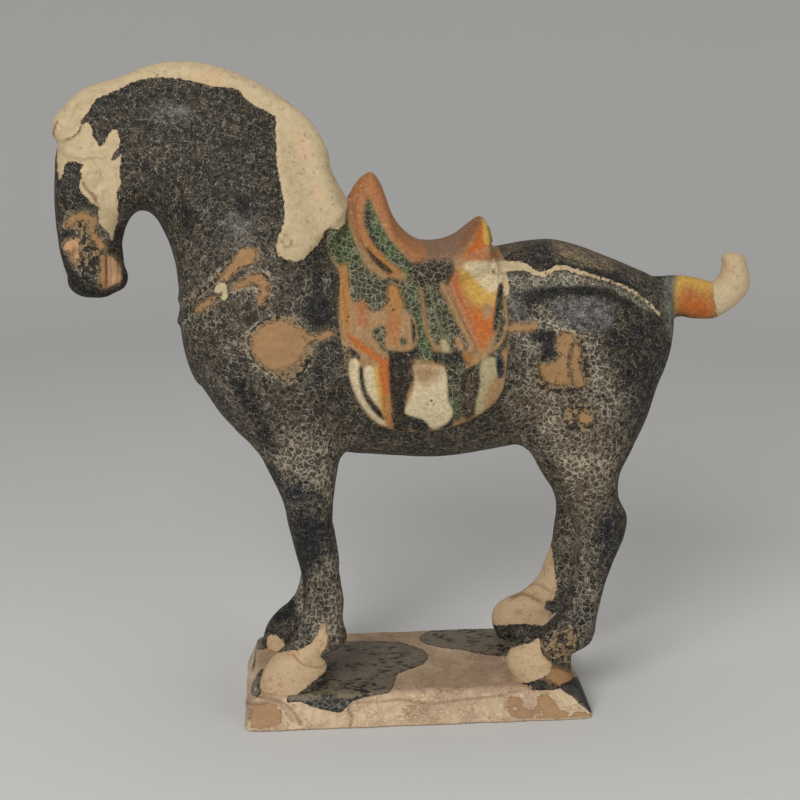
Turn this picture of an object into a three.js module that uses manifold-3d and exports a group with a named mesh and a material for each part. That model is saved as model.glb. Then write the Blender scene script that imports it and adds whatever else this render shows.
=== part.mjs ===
// A glazed pottery horse in the style of the old tomb figures. It is saddled, its head is drawn in
// under an arched neck, and it stands on a low plinth of its own.
// Millimetres, +Z up. The head points along -X and the tail along +X, so the near side is -Y.
// The origin is the middle of the plinth's underside.

import * as THREE from 'three';
import { mergeVertices } from 'three/addons/utils/BufferGeometryUtils.js';
import Module from 'manifold-3d';

const wasm = await Module();
wasm.setup();

// Driving dimensions of the horse
const horseHeight = 283;      // soles to the top of the mane
const blanketRise = 1.4;      // saddle blanket above the horse's coat
const skirtRise = 2.6;        // saddle cloth above the coat, over the blanket
const foldRise = 4.2;         // folds of the saddle cloth above the coat
const foldWidth = 4;
const strapRise = 1.5;        // harness straps above the coat
const strapWidth = 5;
const lockRise = 2.2;         // lock of the mane above the neck

// Driving dimensions of the plinth
const plinthHeight = 15.5;
const plinthSlope = 6;        // how far its sides lean out from the top to the foot
const plinthEndRoom = 2.6;    // its top beyond the toes and heels
const plinthSideRoom = 0.4;   // its top beyond the outer sides of the hooves
const plinthCorner = 5;       // corner radius seen from above
const plinthEdge = 2;         // rounding of its upper edge
const restGap = 0.3;          // clearance between the soles and the plinth

// The horse is a free form: every point and width below is drawn on a grid this many units tall
const drawnHeight = 283;
const grid = horseHeight / drawnHeight;

const glazeBlack = 0x35353a;
const slipCream = 0xd9bd95;

// A section of a form, seen from the side: edge A and edge B as x and z, the half width, how much
// wider it is at edge A than in the middle (a share), and its middle's y.
const section = (ax, az, bx, bz, halfWidth, egg = 0, y = 0) => [ax, az, bx, bz, halfWidth, egg, y];

const trunk = [
  section(-99, 191, -97, 139, 23),
  section(-89, 200, -87, 125, 31),
  section(-71, 206, -71, 116, 36),
  section(-50, 208, -50, 110.5, 38.5),
  section(-28, 204, -28, 106.5, 39.5),
  section(0, 198, 0, 104, 41),
  section(25, 198.5, 25, 105.5, 41),
  section(48, 202.5, 47, 108.5, 40),
  section(66, 202.5, 64, 111.5, 40),
  section(85, 196.5, 82, 113, 38.5),
  section(103, 189.5, 98, 120, 33.5),
  section(114.5, 184.5, 110, 136, 24),
];

const neck = [
  section(-129, 222, -130, 274, 15, 0.1),
  section(-121, 217.5, -110, 279, 17.5, 0.15),
  section(-113.5, 211, -89, 277, 20, 0.2),
  section(-108.2, 200, -69, 268, 23.5, 0.2),
  section(-105.6, 185, -51, 254, 28, 0.2),
  section(-104, 166, -42, 235, 32.5, 0.15),
  section(-98, 144, -33, 210, 35),
  section(-84, 122, -16, 184, 29),
];

const head = [
  section(-145, 266, -118, 262, 13.5),
  section(-152.5, 257, -112, 242, 16.5),
  section(-157, 244, -115, 227, 18.6, 0.05),
  section(-158.4, 232, -121, 219.5, 17.6, 0.05),
  section(-158.9, 221, -127, 213, 14.2),
  section(-158.6, 210, -130, 205.5, 12),
  section(-157.8, 200.5, -130, 199, 12.2),
  section(-155, 190, -130.5, 190, 12),
  section(-150.5, 184, -134, 184, 9.8),
];

const mane = [
  section(-153.5, 261, -147, 256, 5),
  section(-149.5, 267, -144, 259, 6.2),
  section(-141.5, 272.5, -138, 263, 6.6),
  section(-130, 275.6, -127, 265.5, 6.6),
  section(-117, 280.8, -115, 270.5, 6.6),
  section(-103, 283, -103, 272, 6.6),
  section(-88, 281.3, -91, 270.5, 6.6),
  section(-73, 276, -79, 266, 6.8),
  section(-58, 267, -66, 258, 8),
  section(-46.6, 257, -56, 247.5, 10),
  section(-40.2, 246, -53, 239, 13),
  section(-38.6, 236, -50, 229, 16),
  section(-34, 226.5, -47, 218, 18),
  section(-28.5, 217, -44, 205, 19),
];

const frontLeg = [
  section(-84, 158, -40, 158, 11, 0, 18),
  section(-84, 142, -34, 140, 14, 0, 19.5),
  section(-77, 124, -32, 123, 15, 0, 21),
  section(-69, 106, -36.6, 106, 13.2, 0, 22.6),
  section(-62.5, 91, -38.8, 91, 11, 0, 23.2),
  section(-60.3, 80, -39.4, 80, 9.8, 0, 23.5),
  section(-57, 66, -38.6, 67, 9.2, 0, 23.7),
  section(-54.3, 54, -36.6, 56, 8.6, 0, 23.8),
  section(-53.8, 41, -34.7, 42, 8.4, 0, 24),
  section(-54.8, 33, -35.3, 33, 8.6, 0, 24),
  section(-57, 26, -33.6, 23.5, 8.8, 0, 24),
  section(-59.5, 22.5, -36, 19.5, 8.4, 0, 24),
  section(-62, 19.5, -43, 15.5, 8.2, 0, 24),
  section(-67.5, 14.5, -43.2, 11.5, 9.3, 0, 24),
  section(-71.5, 8, -44, 5, 9.7, 0, 24),
  section(-73.5, 0, -45.5, 0, 9.8, 0, 24),
];

const hindLeg = [
  section(52, 164, 108, 172, 12, 0, 17),
  section(45, 142, 111, 150, 16.5, 0, 19),
  section(47, 121, 106.5, 129, 17.2, 0, 20.5),
  section(54.5, 104, 98, 112, 15, 0, 22),
  section(62, 92, 92.3, 100, 12.2, 0, 23),
  section(68, 82, 91.8, 89, 10.4, 0, 23.5),
  section(72, 73, 96.2, 79, 9.4, 0, 23.8),
  section(73, 66, 95.6, 70, 9, 0, 24),
  section(72.3, 58, 92, 60, 8.5, 0, 24),
  section(71, 48, 88.6, 50, 8.1, 0, 24),
  section(68.5, 40, 86, 39, 8.1, 0, 24),
  section(65, 31.5, 84, 28, 8.3, 0, 24),
  section(60, 25.5, 83, 19, 8.6, 0, 24),
  section(54, 21.5, 79.5, 14.8, 8.4, 0, 24),
  section(48, 19, 73, 11, 8.4, 0, 24),
  section(43, 13, 72.5, 7, 9.3, 0, 24),
  section(42.3, 6.5, 72.5, 3, 9.6, 0, 24),
  section(45.2, 0, 73, 0, 9.8, 0, 24),
];

const tail = [
  section(108, 186.5, 110, 160, 10),
  section(121, 187, 121, 166, 9.6),
  section(130, 186, 131, 165, 9.4),
  section(138, 184, 141, 165.3, 9),
  section(141, 186.5, 152, 173, 8.4),
  section(142.3, 191, 156, 182, 7.4),
  section(141.6, 195, 153.5, 191, 6),
];

const saddle = [
  section(-31.5, 220, -28, 186, 19, -0.2),
  section(-27, 229.5, -22, 186, 21, -0.3),
  section(-20.5, 235, -16, 184, 22.5, -0.3),
  section(-15.6, 230, -10, 184, 24, -0.3),
  section(-10, 215.5, -6, 184, 26, -0.1),
  section(-2, 206.3, 0, 182, 28),
  section(8, 203.5, 8, 182, 29),
  section(18, 206.3, 16, 182, 29),
  section(25, 211.3, 23, 182, 28),
  section(30.4, 214.6, 28.4, 184, 26.5),
  section(32.2, 207, 31, 186, 24),
];

// Rounded masses: middle, half sizes along x, y and z, and a turn about y in degrees.
// Each is made on both sides of the horse.
const shoulder = { at: [-66, 18, 152], size: [20, 20.5, 36], turn: 14 };
const haunch = { at: [80, 17, 153], size: [25, 22, 38], turn: -10 };
const cheek = { at: [-130, 10, 231], size: [13.5, 8.4, 13.5], turn: 0 };
const eyeball = { at: [-141, 14.5, 236.5], size: [4.8, 5.4, 4.3], turn: 12 };
const brow = { at: [-142, 12.5, 243], size: [9, 6, 3.6], turn: 8 };
const nostril = { at: [-152.5, 11.5, 203], size: [3, 2.8, 4.6], turn: -20 };
const lip = { at: [-148, 3, 186], size: [6.5, 7, 5], turn: 20 };
const chin = { at: [-134.5, 3, 190], size: [5, 6, 6], turn: 0 };
const forelock = { at: [-151.6, 0, 255.5], size: [6.2, 8.5, 8], turn: 25 };

// Outlines on the horse's side, as x and z
const blanketOutline = [
  [-34, 214], [-35.5, 185], [-35, 162], [-34, 156], [-31, 146], [-27, 137], [-20, 130], [-11, 126.3],
  [2, 125.8], [13, 127], [23, 131], [32, 138], [36.3, 146], [37.3, 157], [36, 170], [33.5, 186], [30, 204],
];
const skirtOutline = [
  [-31, 214], [-34, 186], [-33.5, 170], [-24, 163], [-15, 158.5], [-10, 161.5], [4, 162.5], [14, 158.5],
  [21.5, 161], [16, 178], [12, 193], [14, 206],
];
const lockOutline = [
  [-60, 268], [-61.5, 250], [-61.5, 237], [-58.8, 228], [-58.8, 219], [-61, 211], [-61.5, 203.5],
  [-56, 199.3], [-49, 201.5], [-42, 208.5], [-36, 218], [-33, 232], [-38, 252], [-48, 264],
];
const breastStrap = [[-112, 168], [-104, 174], [-96, 181.5], [-88, 187], [-77, 191.8], [-70, 193]];
const neckStrap = [[-112, 180], [-104, 184], [-95, 189], [-84, 197], [-74, 203]];
const sideStrap = [[-70, 193], [-68.5, 183], [-62, 171], [-48, 168.5], [-33, 168.5]];
const crupperStrap = [
  [26, 195], [37, 196], [47, 192.5], [54, 193], [63, 196], [70, 193.5], [82, 190], [91, 187], [99, 182], [108, 173],
];
const saddleFolds = [
  [[-30, 214], [-27, 205], [-21, 197], [-12, 191]],
  [[-4, 192], [-3, 180], [1, 164]],
  [[4, 190], [7, 178], [11, 166]],
  [[10, 193], [14.5, 180], [21, 163]],
];

// How finely the forms are faceted
const trunkSides = 22;
const smallSides = 18;
const legSides = 12;
const capRings = 2;
const capFlat = 0.35;         // share of a ring's step that stays flat in the middle of a domed end
const massSides = 12;
const massRings = 8;
const bandStepsPerPoint = 1.5;

// Smooth values between the rows of a table, at a position counted in rows
function along(rows, position) {
  const last = rows.length - 1;
  const i = Math.min(Math.floor(position), last - 1);
  const f = position - i;
  const [p0, p1, p2, p3] = [i - 1, i, i + 1, i + 2].map((k) => rows[Math.min(Math.max(k, 0), last)]);
  return p1.map((b, k) => {
    const [a, c, d] = [p0[k], p2[k], p3[k]];
    return 0.5 * (2 * b + (c - a) * f + (2 * a - 5 * b + 4 * c - d) * f * f + (3 * b - a - 3 * c + d) * f ** 3);
  });
}

// A section grown outwards by a distance in millimetres, in drawing units and mirrored by side
function grown([ax, az, bx, bz, halfWidth, egg, y], rise, side) {
  const depth = Math.hypot(ax - bx, az - bz);
  const reach = rise / grid;
  const [dx, dz] = [((ax - bx) / depth) * reach, ((az - bz) / depth) * reach];
  return [ax + dx, az + dz, bx - dx, bz - dz, halfWidth + reach, egg, y * side];
}

// One ring of points round a section, shrunk to a share of its size and moved along its path
function ring([ax, az, bx, bz, halfWidth, egg, y], sides, share, move) {
  const points = [];
  for (let k = 0; k < sides; k += 1) {
    const angle = (2 * Math.PI * k) / sides;
    const across = 0.5 * share * Math.cos(angle);
    const wide = halfWidth * share * Math.sin(angle) * (1 + egg * Math.cos(angle));
    points.push([
      (ax + bx) / 2 + across * (ax - bx) + move[0],
      y + wide,
      (az + bz) / 2 + across * (az - bz) + move[1],
    ]);
  }
  return points;
}

// The direction out of the first or last section, square to it in the side view
function outward(rows, end) {
  const [ax, az, bx, bz] = rows[end];
  const inner = rows[end === 0 ? 1 : end - 1];
  const depth = Math.hypot(ax - bx, az - bz);
  const normal = [(bz - az) / depth, (ax - bx) / depth];
  const toInner = [inner[0] + inner[2] - ax - bx, inner[1] + inner[3] - az - bz];
  const sign = normal[0] * toInner[0] + normal[1] * toInner[1] > 0 ? -1 : 1;
  return [normal[0] * sign, normal[1] * sign];
}

// A closed mesh through a stack of rings, each with the same number of points
function skin(rings) {
  const sides = rings[0].length;
  const positions = rings.flat(2).map((v) => v * grid);
  const index = [];
  for (let r = 0; r + 1 < rings.length; r += 1) {
    for (let k = 0; k < sides; k += 1) {
      const [a, b] = [r * sides + k, r * sides + ((k + 1) % sides)];
      index.push(a, b, a + sides, b, b + sides, a + sides);
    }
  }
  for (const [start, order] of [[0, -1], [(rings.length - 1) * sides, 1]]) {
    const rim = rings[start / sides];
    const middle = [0, 1, 2].map((axis) => rim.reduce((sum, p) => sum + p[axis], 0) / sides);
    const hub = positions.length / 3;
    positions.push(...middle.map((v) => v * grid));
    for (let k = 0; k < sides; k += 1) {
      const pair = [start + k, start + ((k + 1) % sides)];
      index.push(...(order > 0 ? pair : pair.reverse()), hub);
    }
  }
  const geometry = new THREE.BufferGeometry();
  geometry.setAttribute('position', new THREE.Float32BufferAttribute(positions, 3));
  geometry.setIndex(index);
  return geometry;
}

// A manifold solid from any closed geometry, with its faces turned outwards
function solid(geometry) {
  const bare = geometry.clone();
  bare.deleteAttribute('normal');
  bare.deleteAttribute('uv');
  const merged = mergeVertices(bare, 1e-4);
  const vertProperties = new Float32Array(merged.attributes.position.array);
  const triVerts = new Uint32Array(merged.index.array);
  if (signedVolume(vertProperties, triVerts) < 0) {
    for (let k = 0; k < triVerts.length; k += 3) {
      [triVerts[k], triVerts[k + 1]] = [triVerts[k + 1], triVerts[k]];
    }
  }
  return new wasm.Manifold(new wasm.Mesh({ numProp: 3, vertProperties, triVerts }));
}

function signedVolume(points, triangles) {
  const corner = [new THREE.Vector3(), new THREE.Vector3(), new THREE.Vector3()];
  let total = 0;
  for (let k = 0; k < triangles.length; k += 3) {
    corner.forEach((c, j) => c.fromArray(points, triangles[k + j] * 3));
    total += corner[0].dot(corner[1].clone().cross(corner[2]));
  }
  return total;
}

// A form lofted through its sections, with domed ends of the given reach (zero leaves an end flat)
function loft(rows, { perRow = 1, sides = smallSides, caps = [4, 4], rise = 0, side = 1 } = {}) {
  const swollen = rows.map((row) => grown(row, rise, side));
  const last = swollen.length - 1;
  const rings = [];
  for (let k = 0; k <= last * perRow; k += 1) {
    rings.push(ring(along(swollen, k / perRow), sides, 1, [0, 0]));
  }
  for (const [end, reach] of [[0, caps[0]], [last, caps[1]]]) {
    const way = outward(swollen, end);
    for (let k = 1; reach > 0 && k <= capRings; k += 1) {
      const angle = (Math.PI / 2) * (k / (capRings + capFlat));
      const step = (reach + rise / grid) * Math.sin(angle);
      const cap = ring(swollen[end], sides, Math.cos(angle), [way[0] * step, way[1] * step]);
      if (end === 0) rings.unshift(cap);
      else rings.push(cap);
    }
  }
  return solid(skin(rings));
}

// A rounded mass on one side of the horse
function mass({ at, size, turn }, side, rise = 0) {
  const geometry = new THREE.SphereGeometry(1, massSides, massRings);
  const reach = rise / grid;
  geometry.rotateX(Math.PI / 2);
  geometry.scale(...size.map((v) => (v + reach) * grid));
  geometry.rotateY(THREE.MathUtils.degToRad(turn));
  geometry.translate(at[0] * grid, at[1] * grid * side, at[2] * grid);
  return solid(geometry);
}

const join = (solids) => solids.reduce((all, next) => all.add(next));
const bothSides = (form, rise) => [1, -1].map((side) => mass(form, side, rise));

// Trunk, neck and big muscles, grown outwards by a rise
function coat(rise) {
  return join([
    loft(trunk, { sides: trunkSides, caps: [7, 7], rise }),
    loft(neck, { perRow: 2, caps: [3, 10], rise }),
    ...bothSides(shoulder, rise),
    ...bothSides(haunch, rise),
  ]);
}

// A closed block with a given outline in the side view, between two places across the horse
function block(outline, fromY, toY) {
  const shape = new THREE.Shape(outline.map(([x, z]) => new THREE.Vector2(x * grid, z * grid)));
  const depth = (toY - fromY) * grid;
  const geometry = new THREE.ExtrudeGeometry(shape, { depth, bevelEnabled: false });
  geometry.rotateX(Math.PI / 2);
  geometry.translate(0, toY * grid, 0);
  return solid(geometry);
}

// The outline of a band of even width along a smooth line
function band(points, width) {
  const curve = new THREE.SplineCurve(points.map(([x, z]) => new THREE.Vector2(x, z)));
  const half = width / 2 / grid;
  const steps = Math.round(points.length * bandStepsPerPoint);
  const rows = Array.from({ length: steps + 1 }, (_, k) => {
    const p = curve.getPoint(k / steps);
    const t = curve.getTangent(k / steps);
    return { p, across: [-t.y * half, t.x * half] };
  });
  const left = rows.map(({ p, across }) => [p.x + across[0], p.y + across[1]]);
  const right = rows.map(({ p, across }) => [p.x - across[0], p.y - across[1]]);
  return [...left, ...right.reverse()];
}

// Far enough across to pass right through the horse
const wide = 70;

function harness() {
  const strapCoat = coat(strapRise);
  const straps = [breastStrap, neckStrap, sideStrap, crupperStrap];
  return straps.map((line) => strapCoat.intersect(block(band(line, strapWidth), -wide, wide)));
}

function saddleCloths() {
  const folds = saddleFolds.map((line) => block(band(line, foldWidth), -wide, wide));
  return [
    coat(blanketRise).intersect(block(blanketOutline, -wide, wide)),
    coat(skirtRise).intersect(block(skirtOutline, -wide, wide)),
    coat(foldRise).intersect(join(folds)),
  ];
}

// The thick end of the mane falls over the near side of the neck only
function maneLock() {
  return coat(lockRise).intersect(block(lockOutline, -wide, 0));
}

function legs() {
  const shapes = [];
  for (const side of [1, -1]) {
    shapes.push(loft(frontLeg, { sides: legSides, caps: [6, 0], side }));
    shapes.push(loft(hindLeg, { sides: legSides, caps: [6, 0], side }));
  }
  return shapes;
}

function headAndMane() {
  const features = [cheek, eyeball, brow, lip, chin].flatMap((form) => bothSides(form));
  const whole = join([loft(head, { caps: [5, 3.4] }), mass(forelock, 1), ...features]);
  const nostrils = join(bothSides(nostril));
  return [whole.subtract(nostrils), loft(mane, { sides: legSides, caps: [3, 4] })];
}

function horseSolid() {
  return join([
    coat(0),
    ...headAndMane(),
    ...legs(),
    loft(tail, { perRow: 2, sides: legSides }),
    loft(saddle, { caps: [4, 1.5] }),
    ...saddleCloths(),
    maneLock(),
    ...harness(),
  ]);
}

// The stance sets the plinth: toes and heels lengthwise, the outer sides of the hooves across
function stance() {
  const [front, hind] = [frontLeg.at(-1), hindLeg.at(-1)];
  return {
    toe: front[0] * grid,
    heel: hind[2] * grid,
    outer: (front[6] + front[4]) * grid,
  };
}

// One level of the plinth: a rectangle with rounded corners
function plinthRing(length, width, corner, z) {
  const cornerSteps = 3;
  const points = [];
  for (let quarter = 0; quarter < 4; quarter += 1) {
    const [sx, sy] = [[1, 1], [-1, 1], [-1, -1], [1, -1]][quarter];
    for (let k = 0; k <= cornerSteps; k += 1) {
      const angle = (Math.PI / 2) * (quarter + k / cornerSteps);
      const x = sx * (length / 2 - corner) + corner * Math.cos(angle);
      const y = sy * (width / 2 - corner) + corner * Math.sin(angle);
      points.push([x / grid, y / grid, z / grid]);
    }
  }
  return points;
}

function plinthGeometry() {
  const edgeEasing = 0.3;
  const { toe, heel, outer } = stance();
  const topLength = heel - toe + 2 * plinthEndRoom;
  const topWidth = 2 * (outer + plinthSideRoom);
  const level = (height, inset) => {
    const spread = 2 * (plinthSlope * (1 - height / plinthHeight) - inset);
    return plinthRing(topLength + spread, topWidth + spread, plinthCorner, height);
  };
  return skin([
    level(0, 0),
    level(plinthHeight - plinthEdge, 0),
    level(plinthHeight - plinthEdge * edgeEasing, plinthEdge * edgeEasing),
    level(plinthHeight, plinthEdge),
  ]);
}

function toGeometry(manifold) {
  const { vertProperties, triVerts } = manifold.getMesh();
  const geometry = new THREE.BufferGeometry();
  geometry.setAttribute('position', new THREE.BufferAttribute(new Float32Array(vertProperties), 3));
  geometry.setIndex(new THREE.BufferAttribute(new Uint32Array(triVerts), 1));
  geometry.computeVertexNormals();
  return geometry;
}

function named(name, geometry, color, roughness) {
  const material = new THREE.MeshStandardMaterial({ color, roughness, metalness: 0 });
  const mesh = new THREE.Mesh(geometry, material);
  mesh.name = name;
  return mesh;
}

const horse = named('horse', toGeometry(horseSolid()), glazeBlack, 0.45);
const { toe, heel } = stance();
horse.position.set(-(toe + heel) / 2, 0, plinthHeight + restGap);

const plinth = named('plinth', toGeometry(solid(plinthGeometry())), slipCream, 0.85);

const tombHorse = new THREE.Group();
tombHorse.add(horse, plinth);

export default tombHorse;
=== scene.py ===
"""A glazed pottery horse in the style of the old tomb figures, on its own low plinth.

The horse is worked out in drawing units of its own (283 from sole to mane, about a millimetre each):
x towards the tail, y towards the far side and z up from the soles. A solid field joins its forms, relief
is carved into that field, and the surface is meshed from it and scaled into the frame. Places on its
side are given by where they stand in the 800 x 800 picture, seen by the picture's camera, and written
as x, y, x, y and so on.
"""
import math

import bpy
import numpy as np
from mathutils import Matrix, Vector


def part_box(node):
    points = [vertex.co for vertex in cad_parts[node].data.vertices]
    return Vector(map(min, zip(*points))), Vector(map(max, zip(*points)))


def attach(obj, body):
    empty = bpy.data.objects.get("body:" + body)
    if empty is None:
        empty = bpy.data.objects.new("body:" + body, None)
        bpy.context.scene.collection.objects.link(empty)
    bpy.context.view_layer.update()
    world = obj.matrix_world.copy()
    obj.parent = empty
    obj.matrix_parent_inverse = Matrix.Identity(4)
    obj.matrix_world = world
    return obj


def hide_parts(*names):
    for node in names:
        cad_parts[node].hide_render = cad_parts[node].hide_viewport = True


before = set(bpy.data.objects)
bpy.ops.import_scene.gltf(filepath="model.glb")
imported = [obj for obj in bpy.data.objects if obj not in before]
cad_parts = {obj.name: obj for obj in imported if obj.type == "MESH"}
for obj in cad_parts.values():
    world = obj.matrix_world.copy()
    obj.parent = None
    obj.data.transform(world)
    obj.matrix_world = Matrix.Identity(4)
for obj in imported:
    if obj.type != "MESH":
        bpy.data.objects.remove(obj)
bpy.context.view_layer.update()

# The frame gives the scale and the place of the drawing
DRAWN_HEIGHT = 283.0
HORSE_LOW, HORSE_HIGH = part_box("horse")
PLINTH_LOW, PLINTH_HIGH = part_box("plinth")
UNIT = (HORSE_HIGH.z - HORSE_LOW.z) / DRAWN_HEIGHT
SOLE_Z = HORSE_LOW.z
TOE_X, HEEL_X = -73.5, 73.0
MIDDLE_X = -(TOE_X + HEEL_X) / 2 * UNIT

# Where the head ends and how low the saddle's cloths hang, in drawing units
HEAD_X = -112
CLOTH_Z = 112

# The picture's camera, in metres in the row frame
PICTURE_SIZE = 800
FOCAL_PX = 1400.0
AZIMUTH, ELEVATION = math.radians(-4.72), math.radians(14.54)
CAMERA_DISTANCE = 0.6492
CAMERA_TARGET = np.array([-0.00658, 0.0, 0.14577])
VIEW_RIGHT = np.array([math.cos(AZIMUTH), math.sin(AZIMUTH), 0.0])
VIEW_AHEAD = np.array([
    -math.sin(AZIMUTH) * math.cos(ELEVATION), math.cos(AZIMUTH) * math.cos(ELEVATION), -math.sin(ELEVATION),
])
VIEW_UP = np.cross(VIEW_RIGHT, VIEW_AHEAD)
CAMERA_PLACE = CAMERA_TARGET - VIEW_AHEAD * CAMERA_DISTANCE
PX = 0.445    # millimetres for one picture pixel on the near side
REACH = 14.0    # how far distances to an outline are followed, in pixels

# Sections of each form: edge A and edge B in the side view (x, z), the half width and, where they aren't 0,
# its middle's y and how much wider it is at edge A than in the middle
SECTION_COLUMNS = 7
STEPS_BETWEEN_SECTIONS = 6
TRUNK = [
    (-99, 191, -97, 139, 23), (-89, 200, -87, 125, 31), (-71, 206, -71, 116, 36),
    (-50, 208, -50, 110.5, 38.5), (-28, 204, -28, 106.5, 39.5), (0, 198, 0, 104, 41),
    (25, 198.5, 25, 105.5, 41), (48, 202.5, 47, 108.5, 40), (66, 202.5, 64, 111.5, 40),
    (85, 196.5, 82, 113, 38.5), (103, 189.5, 98, 120, 33.5), (114.5, 184.5, 110, 136, 24),
]
NECK = [
    (-129, 222, -130, 274, 15, 0, 0.1), (-121, 217.5, -110, 279, 17.5, 0, 0.15),
    (-113.5, 211, -89, 277, 20, 0, 0.2), (-108.2, 200, -69, 268, 23.5, 0, 0.2),
    (-105.6, 185, -51, 254, 28, 0, 0.2), (-104, 166, -42, 235, 32.5, 0, 0.15), (-98, 144, -33, 210, 35),
    (-84, 122, -16, 184, 29),
]
HEAD = [
    (-145, 266, -118, 262, 13.5), (-152.5, 257, -112, 242, 16.5), (-157, 244, -115, 227, 18.6, 0, 0.05),
    (-158.4, 232, -121, 219.5, 17.6, 0, 0.05), (-158.9, 221, -127, 213, 14.2),
    (-158.6, 210, -130, 205.5, 12), (-157.8, 200.5, -130, 199, 12.2), (-155, 190, -130.5, 190, 12),
    (-150.5, 184, -134, 184, 9.8),
]
MANE = [
    (-153.5, 261, -147, 256, 5), (-149.5, 267, -144, 259, 6.2), (-141.5, 272.5, -138, 263, 6.6),
    (-130, 275.6, -127, 265.5, 6.6), (-117, 280.8, -115, 270.5, 6.6), (-103, 283, -103, 272, 6.6),
    (-88, 281.3, -91, 270.5, 6.6), (-73, 276, -79, 266, 6.8), (-58, 267, -66, 258, 8),
    (-46.6, 257, -56, 247.5, 10), (-40.2, 246, -53, 239, 13), (-38.6, 236, -50, 229, 16),
    (-34, 226.5, -47, 218, 18), (-28.5, 217, -44, 205, 19),
]
FRONT_LEG = [
    (-84, 158, -40, 158, 11, 18), (-84, 142, -34, 140, 14, 19.5), (-77, 124, -32, 123, 15, 21),
    (-69, 106, -36.6, 106, 13.2, 22.6), (-62.5, 91, -38.8, 91, 11, 23.2), (-60.3, 80, -39.4, 80, 9.8, 23.5),
    (-57, 66, -38.6, 67, 9.2, 23.7), (-54.3, 54, -36.6, 56, 8.6, 23.8), (-53.8, 41, -34.7, 42, 8.4, 24),
    (-54.8, 33, -35.3, 33, 8.6, 24), (-57, 26, -33.6, 23.5, 8.8, 24), (-59.5, 22.5, -36, 19.5, 8.4, 24),
    (-62, 19.5, -43, 15.5, 8.2, 24), (-67.5, 14.5, -43.2, 11.5, 9.3, 24), (-71.5, 8, -44, 5, 9.7, 24),
    (TOE_X, 0, -45.5, 0, 9.8, 24), (TOE_X, -1, -45.5, -1, 9.8, 24),
]
HIND_LEG = [
    (52, 164, 108, 172, 12, 17), (45, 142, 111, 150, 16.5, 19), (47, 121, 106.5, 129, 17.2, 20.5),
    (54.5, 104, 98, 112, 15, 22), (62, 92, 92.3, 100, 12.2, 23), (68, 82, 91.8, 89, 10.4, 23.5),
    (72, 73, 96.2, 79, 9.4, 23.8), (73, 66, 95.6, 70, 9, 24), (72.3, 58, 92, 60, 8.5, 24),
    (71, 48, 88.6, 50, 8.1, 24), (68.5, 40, 86, 39, 8.1, 24), (65, 31.5, 84, 28, 8.3, 24),
    (60, 25.5, 83, 19, 8.6, 24), (54, 21.5, 79.5, 14.8, 8.4, 24), (48, 19, 73, 11, 8.4, 24),
    (43, 13, 72.5, 7, 9.3, 24), (42.3, 6.5, 72.5, 3, 9.6, 24), (45.2, 0, HEEL_X, 0, 9.8, 24),
    (45.2, -1, HEEL_X, -1, 9.8, 24),
]
TAIL = [
    (108, 186.5, 110, 160, 10), (121, 187, 121, 166, 9.6), (130, 186, 131, 165, 9.4),
    (138, 184, 141, 165.3, 9), (141, 186.5, 152, 173, 8.4), (142.3, 191, 156, 182, 7.4),
    (141.6, 195, 153.5, 191, 6),
]
SADDLE = [
    (-31.5, 220, -28, 186, 19, 0, -0.2), (-27, 229.5, -22, 186, 21, 0, -0.3),
    (-20.5, 235, -16, 184, 22.5, 0, -0.3), (-15.6, 230, -10, 184, 24, 0, -0.3),
    (-10, 215.5, -6, 184, 26, 0, -0.1), (-2, 206.3, 0, 182, 28), (8, 203.5, 8, 182, 29),
    (18, 206.3, 16, 182, 29), (25, 211.3, 23, 182, 28), (30.4, 214.6, 28.4, 184, 26.5),
    (32.2, 207, 31, 186, 24),
]

TINY = 1e-6
FAR = 25.0    # the field outside all forms
MARGIN = 14.0    # a form is ignored beyond this distance
LEAST_SLOPE = 0.6    # the least slope of a form's field, as a share of one over its half size
LEAST_RADIUS = 1e-4
LEAST_BLEND = 0.05
MOST_STEPS = 24


def smooth_rows(rows, per_row):
    """Catmull-Rom rows between the given rows, with per_row steps between each two."""
    rows = np.array(rows, float)
    last = len(rows) - 1
    position = np.arange(last * per_row + 1) / per_row
    i = np.minimum(position.astype(int), last - 1)
    f = (position - i)[:, None]
    a, b, c, d = (rows[np.clip(i + k, 0, last)] for k in (-1, 0, 1, 2))
    cubic = 3 * b - a - 3 * c + d
    return 0.5 * (2 * b + (c - a) * f + (2 * a - 5 * b + 4 * c - d) * f ** 2 + cubic * f ** 3)


def unit(rows):
    """The rows scaled to length 1."""
    return rows / (np.linalg.norm(rows, axis=1)[:, None] + 1e-9)


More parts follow.
